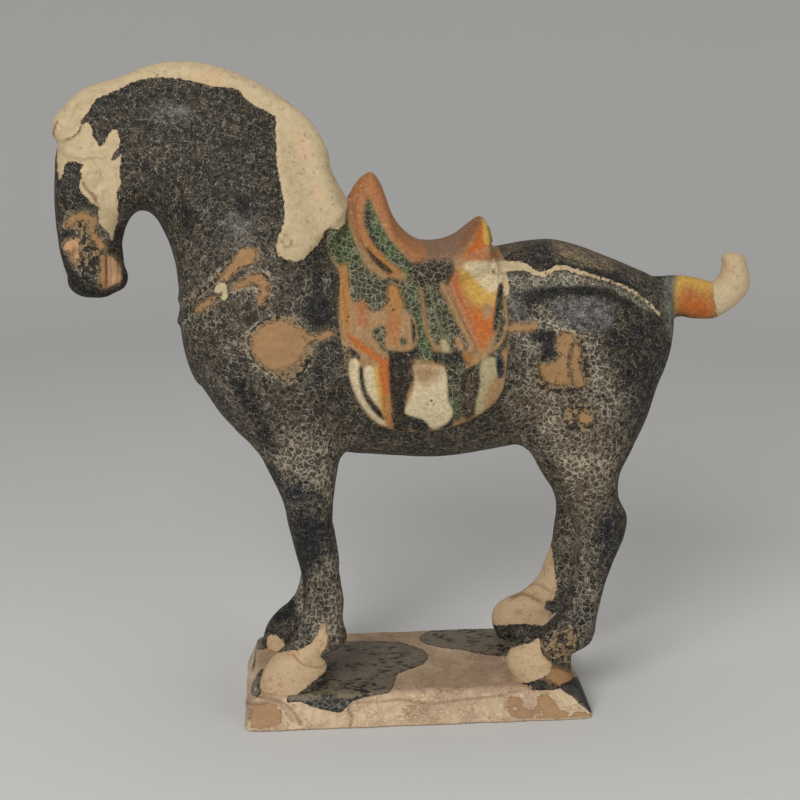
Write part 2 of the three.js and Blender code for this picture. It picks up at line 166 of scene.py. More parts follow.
class Sweep:
    """A form through sections, as a distance field. caps gives the reach of its two domed ends."""

    def __init__(self, rows, caps):
        full = [row + (0,) * (SECTION_COLUMNS - len(row)) for row in rows]
        fine = smooth_rows(full, STEPS_BETWEEN_SECTIONS)
        edge_a, edge_b = fine[:, 0:2], fine[:, 2:4]
        self.width, self.y, self.egg = fine[:, 4:].T
        self.middle = (edge_a + edge_b) / 2
        depth = np.linalg.norm(edge_a - edge_b, axis=1)
        self.across = (edge_a - edge_b) / depth[:, None]
        self.half = depth / 2
        self.ahead = np.stack([-self.across[:, 1], self.across[:, 0]], axis=1)
        steps = np.diff(self.middle, axis=0, append=2 * self.middle[-1:] - self.middle[-2:-1])
        if (steps * self.ahead).sum() < 0:
            self.ahead = -self.ahead
        self.caps = caps
        low, high = np.minimum(edge_a, edge_b).min(axis=0), np.maximum(edge_a, edge_b).max(axis=0)
        reach = max(caps)
        self.low = np.array([low[0] - reach, (self.y - self.width).min(), low[1] - reach])
        self.high = np.array([high[0] + reach, (self.y + self.width).max(), high[1] + reach])

    def evaluate(self, p):
        """Distance and outward direction at points given as rows of x, y, z."""
        flat = p[:, [0, 2]]
        offset = flat[:, None, :] - self.middle[None]
        ahead = np.einsum("ijk,jk->ij", offset, self.ahead)
        near = np.argmin((offset ** 2).sum(axis=2), axis=1)
        rows = np.arange(len(p))
        last = len(self.middle) - 1
        for _ in range(MOST_STEPS):
            here = ahead[rows, near]
            later = ahead[rows, np.minimum(near + 1, last)]
            back = np.where((here < 0) & (near > 0), -1, 0)
            step = np.where((here > 0) & (later > 0) & (near < last), 1, back)
            if not step.any():
                break
            near = near + step
        here = ahead[rows, near]
        follow = np.minimum(near + 1, last)
        fall = here - ahead[rows, follow]
        share = np.clip(here / np.where(fall > TINY, fall, 1e9), 0, 1)
        share = np.where((here > 0) & (near < last), share, 0.0)

        def at(values):
            s = share if values.ndim == 1 else share[:, None]
            return values[near] * (1 - s) + values[follow] * s

        away = flat - at(self.middle)
        across, forward = at(self.across), at(self.ahead)
        u = (away * across).sum(axis=1)
        s = (away * forward).sum(axis=1)
        v = p[:, 1] - at(self.y)
        half, width, egg = at(self.half), at(self.width), at(self.egg)
        along = near + share
        over = np.maximum(np.where(along <= TINY, -s, np.where(along >= last - TINY, s, 0.0)), 0.0)
        is_first = along < last / 2
        cap = np.where(is_first, self.caps[0], self.caps[1])
        lean = (u / half) / (np.hypot(u / half, v / width) + TINY)
        width = width * (1 + egg * lean)
        r = np.sqrt((u / half) ** 2 + (v / width) ** 2 + (over / cap) ** 2)
        gu, gv, gs = u / half ** 2, v / width ** 2, over / cap ** 2
        slope = np.sqrt(gu ** 2 + gv ** 2 + gs ** 2) / np.maximum(r, LEAST_RADIUS)
        distance = (r - 1) / np.maximum(slope, 1 / np.maximum(half, width) * LEAST_SLOPE)
        gs = gs * np.where(is_first, -1, 1)
        flat_way = across * gu[:, None] + forward * gs[:, None]
        return distance, unit(np.stack([flat_way[:, 0], gv, flat_way[:, 1]], axis=1))


class Mass:
    """A rounded mass: its middle, its half sizes and a turn about y in degrees."""

    def __init__(self, at, size, turn=0.0):
        self.at, self.size = np.array(at, float), np.array(size, float)
        angle = math.radians(turn)
        c, s = math.cos(angle), math.sin(angle)
        self.frame = np.array([[c, 0, s], [0, 1, 0], [-s, 0, c]])
        reach = self.size.max()
        self.low, self.high = self.at - reach, self.at + reach

    def evaluate(self, p):
        q = (p - self.at) @ self.frame
        r = np.sqrt(((q / self.size) ** 2).sum(axis=1))
        g = q / self.size ** 2
        slope = np.sqrt((g ** 2).sum(axis=1)) / np.maximum(r, LEAST_RADIUS)
        distance = (r - 1) / np.maximum(slope, LEAST_SLOPE / self.size.max())
        return distance, unit(g @ self.frame.T)


def joined(p, forms):
    """The smooth union of forms at points p. A blend is soft where two surfaces meet at an angle."""
    total = np.full(len(p), FAR)
    way = np.zeros((len(p), 3))
    for form, reach, sign in forms:
        where = np.flatnonzero(np.all((p > form.low - MARGIN) & (p < form.high + MARGIN), axis=1))
        if not len(where):
            continue
        distance, direction = form.evaluate(p[where])
        old, old_way = total[where] * sign, way[where] * sign
        turn = 1 - (old_way * direction).sum(axis=1)
        blend = np.maximum(reach * np.clip(0.12 + turn, 0, 1), LEAST_BLEND)
        h = np.clip(0.5 + 0.5 * (old - distance) / blend, 0, 1)
        mixed = old * (1 - h) + distance * h - blend * h * (1 - h)
        mixed_way = unit(old_way * (1 - h)[:, None] + direction * h[:, None])
        total[where] = mixed * sign
        way[where] = mixed_way * sign
    return total


# Rounded masses on both sides, given for y > 0
SHOULDER = Mass((-66, 18, 152), (20, 20.5, 36), 14)
HAUNCH = Mass((80, 17, 153), (25, 22, 38), -10)
CHEEK = Mass((-129, 9.5, 231.5), (14, 8.6, 14.5))
BROW = Mass((-143, 12.5, 245), (10, 6, 4.2), 8)
EYEBALL = Mass((-140.4, 14.3, 236.8), (6.2, 4.9, 8), -8)
SOCKET = Mass((-139.5, 20.6, 236.5), (8.2, 4.2, 9.6), -8)
NOSE_RIM = Mass((-152, 8.6, 203), (4.6, 5, 7.4), -14)
NOSE_HOLE = Mass((-148.6, 13.6, 201), (2.1, 3.4, 3.2), -20)
LIP = Mass((-147, 0, 187.5), (8.5, 10.6, 6.6), 20)
CHIN = Mass((-133.8, 0, 189.5), (5.2, 9, 6.4))
FORELOCK = Mass((-151.6, 0, 255.5), (6.2, 8.5, 8), 25)

# Form, how softly it joins what comes before it, and 1 to add or -1 to cut
HORSE_FORMS = [
    (Sweep(TRUNK, (7, 7)), 0, 1), (Sweep(NECK, (8, 10)), 14, 1), (SHOULDER, 10, 1), (HAUNCH, 10, 1),
    (Sweep(FRONT_LEG, (6, 0.6)), 9, 1), (Sweep(HIND_LEG, (6, 0.6)), 9, 1), (Sweep(TAIL, (4, 4)), 5, 1),
    (Sweep(HEAD, (5, 3.4)), 7, 1), (CHEEK, 4, 1), (LIP, 4, 1), (CHIN, 4, 1), (BROW, 4, 1), (SOCKET, 3, -1),
    (EYEBALL, 1.2, 1), (NOSE_RIM, 3, 1), (NOSE_HOLE, 1.4, -1), (FORELOCK, 2.5, 1),
    (Sweep(MANE, (3, 4)), 6, 1),
    (Sweep(SADDLE, (4, 1.5)), 4, 1),
]


def to_frame(p):
    """Drawing points as metres in the row frame."""
    return p * UNIT + np.array([MIDDLE_X, 0.0, SOLE_Z])


def folded(p, side=1):
    """Points brought to the far side, or to the near one for side -1."""
    return np.stack([p[:, 0], side * np.abs(p[:, 1]), p[:, 2]], axis=1)


def seen(world):
    """Where points of the row frame stand in the picture, in its pixels."""
    away = world - CAMERA_PLACE
    depth = away @ VIEW_AHEAD
    right = away @ VIEW_RIGHT / depth * FOCAL_PX + PICTURE_SIZE / 2
    down = PICTURE_SIZE / 2 - away @ VIEW_UP / depth * FOCAL_PX
    return np.stack([right, down], axis=1)


def picture_place(p):
    """Where drawing points, taken to the near side, stand in the picture."""
    return seen(to_frame(folded(p, -1)))


def curve(*numbers, steps=4):
    """A smooth line through picture places."""
    return smooth_rows(np.reshape(numbers, (-1, 2)), steps)


def ring(*numbers, steps=4):
    """A smooth closed outline through picture places."""
    points = np.reshape(numbers, (-1, 2))
    return smooth_rows(np.concatenate([points[-1:], points, points[:2]]), steps)[steps:-steps]


def shape(*numbers):
    """The outline of an area of colour, which needs fewer steps than relief does."""
    return ring(*numbers, steps=3)


def band(half_width, *numbers):
    """The outline of a band of the given half width in pixels along a line."""
    line = curve(*numbers, steps=3)
    along = np.gradient(line, axis=0)
    across = np.stack([-along[:, 1], along[:, 0]], axis=1) / np.linalg.norm(along, axis=1)[:, None]
    return np.concatenate([line + across * half_width, (line - across * half_width)[::-1]])


def close_to(q, line, reach):
    """Which of the places q lie in the box round a line, widened by reach."""
    low, high = line.min(axis=0) - reach, line.max(axis=0) + reach
    return np.flatnonzero(np.all((q > low) & (q < high), axis=1))


def line_distance(q, line):
    """Distance in pixels from places q to a line, and how far along it (0 to 1) each is nearest."""
    best = np.full(len(q), 1e9)
    share = np.zeros(len(q))
    lengths = np.linalg.norm(np.diff(line, axis=0), axis=1)
    starts = np.concatenate([[0], np.cumsum(lengths)])
    for k, (a, b) in enumerate(zip(line[:-1], line[1:])):
        span = b - a
        t = np.clip(((q - a) @ span) / max(span @ span, 1e-9), 0, 1)
        d = np.hypot(q[:, 0] - a[0] - t * span[0], q[:, 1] - a[1] - t * span[1])
        closer = d < best
        best = np.where(closer, d, best)
        share = np.where(closer, (starts[k] + t * lengths[k]) / starts[-1], share)
    return best, share


def inside_distance(q, outline, reach=REACH):
    """Signed distance in pixels to a closed outline: positive inside, and never beyond reach."""
    result = np.full(len(q), -reach)
    where = close_to(q, outline, reach)
    if not len(where):
        return result
    local = q[where]
    distance, _ = line_distance(local, np.concatenate([outline, outline[:1]]))
    inside = np.zeros(len(local), bool)
    for (x1, y1), (x2, y2) in zip(np.roll(outline, 1, axis=0), outline):
        if y1 != y2:
            crosses = (y1 > local[:, 1]) != (y2 > local[:, 1])
            at = (x2 - x1) * (local[:, 1] - y1) / (y2 - y1) + x1
            inside ^= crosses & (local[:, 0] < at)
    result[where] = np.clip(np.where(inside, distance, -distance), -reach, reach)
    return result


def rise_over(distance, edge):
    """0 outside to 1 inside, rounded over a band edge wide around the outline."""
    t = np.clip(distance / edge * 0.5 + 0.5, 0, 1)
    return t * t * (3 - 2 * t)


def ridge(q, line, width, taper):
    """A rounded ridge of unit height along a line, which fades over the share taper at both ends."""
    result = np.zeros(len(q))
    where = close_to(q, line, 3 * width)
    if len(where):
        distance, share = line_distance(q[where], line)
        fade = np.clip(np.minimum(share, 1 - share) / taper, 0, 1)
        result[where] = np.exp(-(distance / width) ** 2) * fade
    return result


def waves(p, size, seed):
    """Soft lumps of about the given size, from -1 to 1."""
    rng = np.random.default_rng(seed)
    total = np.zeros(len(p))
    count = 7
    for _ in range(count):
        direction = rng.normal(size=3)
        direction *= rng.uniform(0.7, 1.5) * math.tau / size / np.linalg.norm(direction)
        total += np.sin(p @ direction + rng.uniform(0, math.tau))
    return total / (0.6 * count)


# Relief on the side. Lines have a half width in pixels and a height in drawing units, below 0 for grooves
BLANKET = ring(340, 262, 338, 310, 341, 345, 345, 368, 352, 388, 361.5, 408, 376, 423, 398, 431, 427, 432,
    451, 428, 475, 418, 494, 403, 504.5, 384.5, 508, 360, 506, 335, 503, 300, 504, 268, 482, 257, 440, 250,
    400, 256)
SKIRT = ring(346, 258, 338, 300, 344, 334, 366, 347, 388, 359, 404, 352, 432, 350, 460, 357, 475, 352,
    462, 318, 449, 281, 420, 262, 380, 255)
FOLDS = [
    (curve(340, 268, 341, 300, 344, 330), 3.2, 0.8),
    (curve(352, 275, 357, 305, 364, 335), 3.0, 0.5),
    (curve(380, 282, 384, 308, 387, 338), 3.0, 0.6),
    (curve(392, 284, 400, 300, 412, 314, 416.5, 333, 411, 348, 402, 351), 2.8, 1.1),
    (curve(417, 287, 422, 315, 427, 345), 2.4, 0.9),
    (curve(428.9, 284, 435.6, 311, 444, 338, 451, 351), 2.0, 1.1),
    (curve(442, 284, 451, 302, 462, 324, 475.6, 349), 2.2, 1.3),
    (curve(452, 281, 462, 305, 472, 328, 480, 347), 1.6, 0.8),
    (curve(504, 300, 506.7, 324, 498, 347, 480, 360, 462, 373), 1.6, 0.8),
]
STRAPS = [
    (curve(172, 325, 181, 318, 198, 302, 216, 290, 242, 278, 256, 273, 265, 281), 4.6, 1.4),
    (curve(172, 304, 181, 297, 200, 287, 225, 268, 248, 252), 3.4, 0.9),
    (curve(265, 281, 261, 300, 263, 318, 280, 330, 306, 333, 334, 334), 3.8, 0.8),
    (curve(190, 322, 216, 307, 232, 301, 246, 309, 252, 322), 3.2, 0.6),
    (curve(500, 266, 526, 274, 540, 275, 550, 268.5, 564, 267, 578, 272, 606, 279, 627, 285, 641, 295,
        651, 303, 663, 316), 3.0, 1.1),
    (curve(505, 328, 536, 327, 550, 332), 3.4, 0.5),
]
DISC = ring(254, 346, 262, 329, 280, 322, 299, 328, 307, 346, 298, 365, 280, 371, 262, 364)
LOCK = ring(275, 118, 275, 145, 276, 172, 283, 194, 283, 214, 279, 234, 277, 248, 281, 258, 291, 261,
    306, 255, 316, 245, 326, 234, 338, 222, 352, 205, 352, 170, 340, 140, 322, 118, 300, 100, 285, 100)
LOCK_STRANDS = [
    (curve(304, 132, 312, 150, 318, 166), 3.0, 0.35),
    (curve(292, 214, 304, 202, 316, 188, 326, 172), 2.4, -0.3),
    (curve(287, 148, 290, 170, 298, 190), 3.0, -0.2),
    (curve(292, 233, 285, 233, 281, 240, 284, 247, 290, 246), 1.6, 0.7),
    (curve(287, 236, 291, 240, 290, 245), 1.2, -0.9),
]
FACE_LINES = [
    (curve(78, 160, 92, 156, 107, 157), 1.8, 0.7),
    (curve(78, 163, 92, 160, 106, 161), 1.2, -0.25),
    (curve(106, 161, 107, 172, 106, 182, 101, 190), 1.2, -0.45),
    (curve(85, 189, 92, 192, 97, 198, 95, 204), 1.3, -0.7),
    (curve(107, 257, 107.5, 272, 107, 287), 1.5, -1.1),
    (curve(137, 145, 147, 157, 158, 170), 1.8, 0.45),
    (curve(143, 142, 152, 152, 160, 160), 1.8, 0.25),
    (curve(134, 103, 150, 101, 170, 103, 190, 107), 2.6, 0.7),
    (curve(134, 103, 144, 112, 160, 116, 178, 113, 190, 107), 2.2, 0.35),
    (curve(57, 122, 62, 130, 70, 127), 1.4, -0.5),
    (curve(82, 118, 80, 132, 72, 139, 64, 143), 1.4, -0.5),
]
HOOF_FRONT = ring(288, 652, 297, 661, 303, 667, 312, 669, 322, 668, 330, 662, 338, 680, 334, 702, 290, 708,
    250, 706, 256, 680, 270, 664)
HOOF_HIND = ring(513, 648, 525, 646, 540, 653, 550, 660, 554, 668, 562, 673, 572, 676, 582, 684, 580, 700,
    540, 704, 500, 700, 500, 670, 506, 656)
POMMEL_RIMS = [
    (curve(352, 192, 349, 203, 355, 225, 364, 246, 376, 265, 388, 277), 2.6, 1.0),
    (curve(358, 195, 358, 216, 366, 238, 380, 258, 396, 273), 2.4, 0.9),
]
POMMEL_HOLLOW = ring(368, 192, 364, 205, 366, 222, 374, 240, 388, 256, 400, 262, 398, 248, 387, 230,
    379, 212, 374, 198)
MANE_BAND = shape(57, 141, 66, 139, 75, 135, 80, 129, 82, 121, 87, 114, 97, 99, 112, 93, 130, 84, 146, 79,
    170, 78, 191, 81, 214, 87, 236, 89, 249, 102, 263, 110, 276, 118, 300, 150, 318, 190, 325, 224,
    345, 224, 345, 160, 310, 90, 250, 50, 170, 35, 90, 50, 50, 90, 46, 130)


def relief(p):
    """How far the carving stands out of the plain forms, in drawing units."""
    q = picture_place(p)
    x, y, z = p[:, 0], np.abs(p[:, 1]), p[:, 2]
    body = rise_over(z - CLOTH_Z, 12) * np.clip((x - HEAD_X) / 4, 0, 1)
    side = body * np.clip((y - 6) / 8, 0, 1)
    near = (p[:, 1] < 0) * np.clip((y - 3) / 5, 0, 1)
    face = np.clip((y - 1) / 3, 0, 1)

    def area(outline, edge):
        return rise_over(inside_distance(q, outline), edge)

    total = 1.4 * area(BLANKET, 5) * side + 1.5 * area(SKIRT, 4.5) * side
    for lines, taper, where in (
        (FOLDS, 0.15, side), (STRAPS, 0.05, rise_over(z - 150, 12)), (LOCK_STRANDS, 0.2, near),
        (FACE_LINES, 0.12, face), (POMMEL_RIMS, 0.1, rise_over(z - 188, 6)),
    ):
        for line, width, height in lines:
            total += height * ridge(q, line, width, taper) * where
    total += 0.5 * area(DISC, 4) * body + 1.7 * area(LOCK, 4) * near - 1.8 * area(POMMEL_HOLLOW, 8)
    total += 0.8 * (area(HOOF_FRONT, 3) + area(HOOF_HIND, 3)) * (1 - rise_over(z - 24, 3))
    total += area(MANE_BAND, 3) * rise_over(z - 200, 8) * np.clip((y - 4) / 5, 0, 1)
    croup = np.exp(-((x - 76) / 34) ** 2) * rise_over(z - 190, 10)
    rear = rise_over(x - 100, 8) * rise_over(180 - z, 10)
    throat = np.exp(-((x + 118) / 9) ** 2 - ((z - 217) / 8) ** 2)
    total += croup - 1.3 * rear - 2.2 * throat
    uneven = 0.35 * waves(p, 34, 3) + 0.12 * waves(p, 11, 4)
    return total + uneven * np.clip((280 - z) / 10, 0, 1) - 0.1


RELIEF_REACH = 7    # relief matters only this close to the plain forms


def horse_field(p):
    distance = joined(folded(p), HORSE_FORMS)
    close = np.flatnonzero(np.abs(distance) < RELIEF_REACH)
    if len(close):
        distance[close] -= relief(p[close])
    return distance


def in_chunks(function, p, size=60000):
    return np.concatenate([function(p[k:k + size]) for k in range(0, len(p), size)])


def stretched_axis(stops):
    """Grid lines from (place, spacing) stops, the spacing of each holding up to the next."""
    lines = [stops[0][0]]
    for (_, step), (end, _) in zip(stops[:-1], stops[1:]):
        while lines[-1] < end - step * 0.5:
            lines.append(lines[-1] + step)
    return np.array(lines)


def grid(*axes):
    """The points of a rectilinear grid, as rows."""
    return np.stack(np.meshgrid(*axes, indexing="ij"), axis=-1).reshape(-1, 3)


NEAR_BLOCKS = 1.9    # blocks this many spans from the surface are meshed finely
OUTSIDE = 9.0    # the value given to grid points away from the surface


def meshed(field, axes, coarse=4):
    """Vertices and quads of the zero surface of a field, by surface nets on a rectilinear grid."""
    axes = [a[:(len(a) - 1) // coarse * coarse + 1] for a in axes]
    blocks = [a[::coarse] for a in axes]
    size = [len(a) for a in axes]
    rough = in_chunks(field, grid(*blocks)).reshape([len(b) for b in blocks])
    near = np.abs(rough) < max(np.diff(b).max() for b in blocks) * NEAR_BLOCKS
    cells = np.zeros([n - 1 for n in near.shape], bool)
    for corner in np.ndindex(2, 2, 2):
        cells |= near[tuple(slice(c, n - 1 + c) for c, n in zip(corner, near.shape))]
    active = np.zeros(size, bool)
    offsets = grid(*[np.arange(coarse + 1)] * 3)
    fine_index = (np.argwhere(cells)[:, None, :] * coarse + offsets[None]).reshape(-1, 3)
    active[tuple(fine_index.T)] = True
    for axis in range(3):
        index = np.minimum((np.arange(size[axis]) + coarse // 2) // coarse, rough.shape[axis] - 1)
        rough = np.take(rough, index, axis=axis)
    values = np.where(rough < 0, -OUTSIDE, OUTSIDE)
    where = np.argwhere(active)
    values[active] = in_chunks(field, np.stack([axes[k][where[:, k]] for k in range(3)], axis=1))
    return surface_net(values, axes)


def surface_net(values, axes):
    """One vertex in each grid cell that the surface crosses, and a quad for each edge that it crosses."""
    cell_shape = np.array(values.shape) - 1
    strides = np.array([cell_shape[1] * cell_shape[2], cell_shape[2], 1])
    count = int(np.prod(cell_shape))
    sums = np.zeros((3, count))
    hits = np.zeros(count)
    quads = []
    negative = values < 0
    for axis in range(3):
        first, second = [slice(None)] * 3, [slice(None)] * 3
        first[axis], second[axis] = slice(0, -1), slice(1, None)
        edge = np.argwhere(negative[tuple(first)] != negative[tuple(second)])
        ahead = edge.copy()
        ahead[:, axis] += 1
        a, b = values[tuple(edge.T)], values[tuple(ahead.T)]
        place = np.stack([axes[k][edge[:, k]] for k in range(3)], axis=1)
        place[:, axis] += a / (a - b) * (axes[axis][ahead[:, axis]] - axes[axis][edge[:, axis]])
        others = [k for k in range(3) if k != axis]
        around = []
        for du, dv in ((0, 0), (1, 0), (1, 1), (0, 1)):
            cell = edge.copy()
            cell[:, others[0]] -= du
            cell[:, others[1]] -= dv
            around.append(cell)
        valid = np.all([np.all((c >= 0) & (c < cell_shape), axis=1) for c in around], axis=0)
        flat = [(c[valid] * strides).sum(axis=1) for c in around]
        for cell in flat:
            sums += summed(cell, place[valid], count).T
            hits += np.bincount(cell, minlength=count)
        quad = np.stack(flat, axis=1)
        turned = negative[tuple(edge[valid].T)] ^ (axis == 1)
        quad[~turned] = quad[~turned][:, ::-1]
        quads.append(quad)
    used = np.flatnonzero(hits)
    number = np.full(count, -1)
    number[used] = np.arange(len(used))
    return (sums[:, used] / hits[used]).T, number[np.concatenate(quads)]


def summed(index, rows, count):
    """The sums of rows of three values that share an index."""
    return np.stack([np.bincount(index, rows[:, k], count) for k in range(3)], axis=1)


def settled(field, vertices, quads, rounds=2):
    """Evens out the net and puts its vertices back on the surface."""
    edges = np.concatenate([quads[:, [k, (k + 1) % 4]] for k in range(4)])
    degree = np.bincount(edges[:, 0], minlength=len(vertices))[:, None]
    for _ in range(rounds):
        total = summed(edges[:, 0], vertices[edges[:, 1]], len(vertices))
        vertices = on_surface(field, vertices * 0.5 + total / degree * 0.5)
    return vertices


SLOPE_STEP = 0.15
LONGEST_MOVE = 0.8


def on_surface(field, vertices):
    """Vertices moved to the zero surface along the slope of the field."""
    base = in_chunks(field, vertices)
    slope = np.stack([
        (in_chunks(field, vertices + SLOPE_STEP * np.eye(3)[k]) - base) / SLOPE_STEP for k in range(3)
    ], axis=1)
    move = base[:, None] * slope / np.maximum((slope ** 2).sum(axis=1), 0.2)[:, None]
    length = np.linalg.norm(move, axis=1)[:, None]
    return vertices - move * np.minimum(1, LONGEST_MOVE / np.maximum(length, 1e-9))


def add_object(name, data):
    thing = bpy.data.objects.new(name, data)
    bpy.context.scene.collection.objects.link(thing)
    return thing


def mesh_object(name, vertices, faces):
    mesh = bpy.data.meshes.new(name)
    mesh.vertices.add(len(vertices))
    mesh.vertices.foreach_set("co", np.asarray(vertices, np.float32).ravel())
    corners = faces.shape[1]
    mesh.loops.add(faces.size)
    mesh.loops.foreach_set("vertex_index", faces.ravel().astype(np.int32))
    mesh.polygons.add(len(faces))
    mesh.polygons.foreach_set("loop_start", np.arange(0, faces.size, corners, dtype=np.int32))
    mesh.update(calc_edges=True)
    mesh.shade_smooth()
    return add_object(name, mesh)


# Colours of glazes, slips, bare clay and a painted shadow line, as seen (red, green and blue from 0 to 255)
SOOT, EARTH, BARK, UMBER = (43, 39, 34), (51, 45, 37), (84, 68, 50), (44, 34, 25)
SLATE, ASH, NAVY, INK_AND_SHADOW = (100, 96, 93), (108, 106, 93), (29, 32, 38), (26, 26, 27)
RUSSET, TAN, SAND, OCHRE = (140, 95, 60), (160, 126, 88), (158, 124, 86), (168, 118, 64)
MAUVE, MOSS, FAWN, TERRACOTTA = (134, 104, 80), (62, 62, 42), (128, 108, 82), (167, 111, 70)
ORANGE, RED, AMBER, YELLOW = (182, 100, 42), (184, 108, 70), (172, 118, 62), (198, 158, 76)
GREEN, OLIVE, CELADON, GREY_GREEN = (62, 81, 48), (112, 112, 80), (168, 158, 120), (94, 98, 88)
CREAM = (206, 188, 152)


def linear(colour):
    """A seen colour as the linear values that shaders take."""
    share = np.asarray(colour, float) / 255
    return np.where(share <= 0.04045, share / 12.92, ((share + 0.055) / 1.055) ** 2.4)
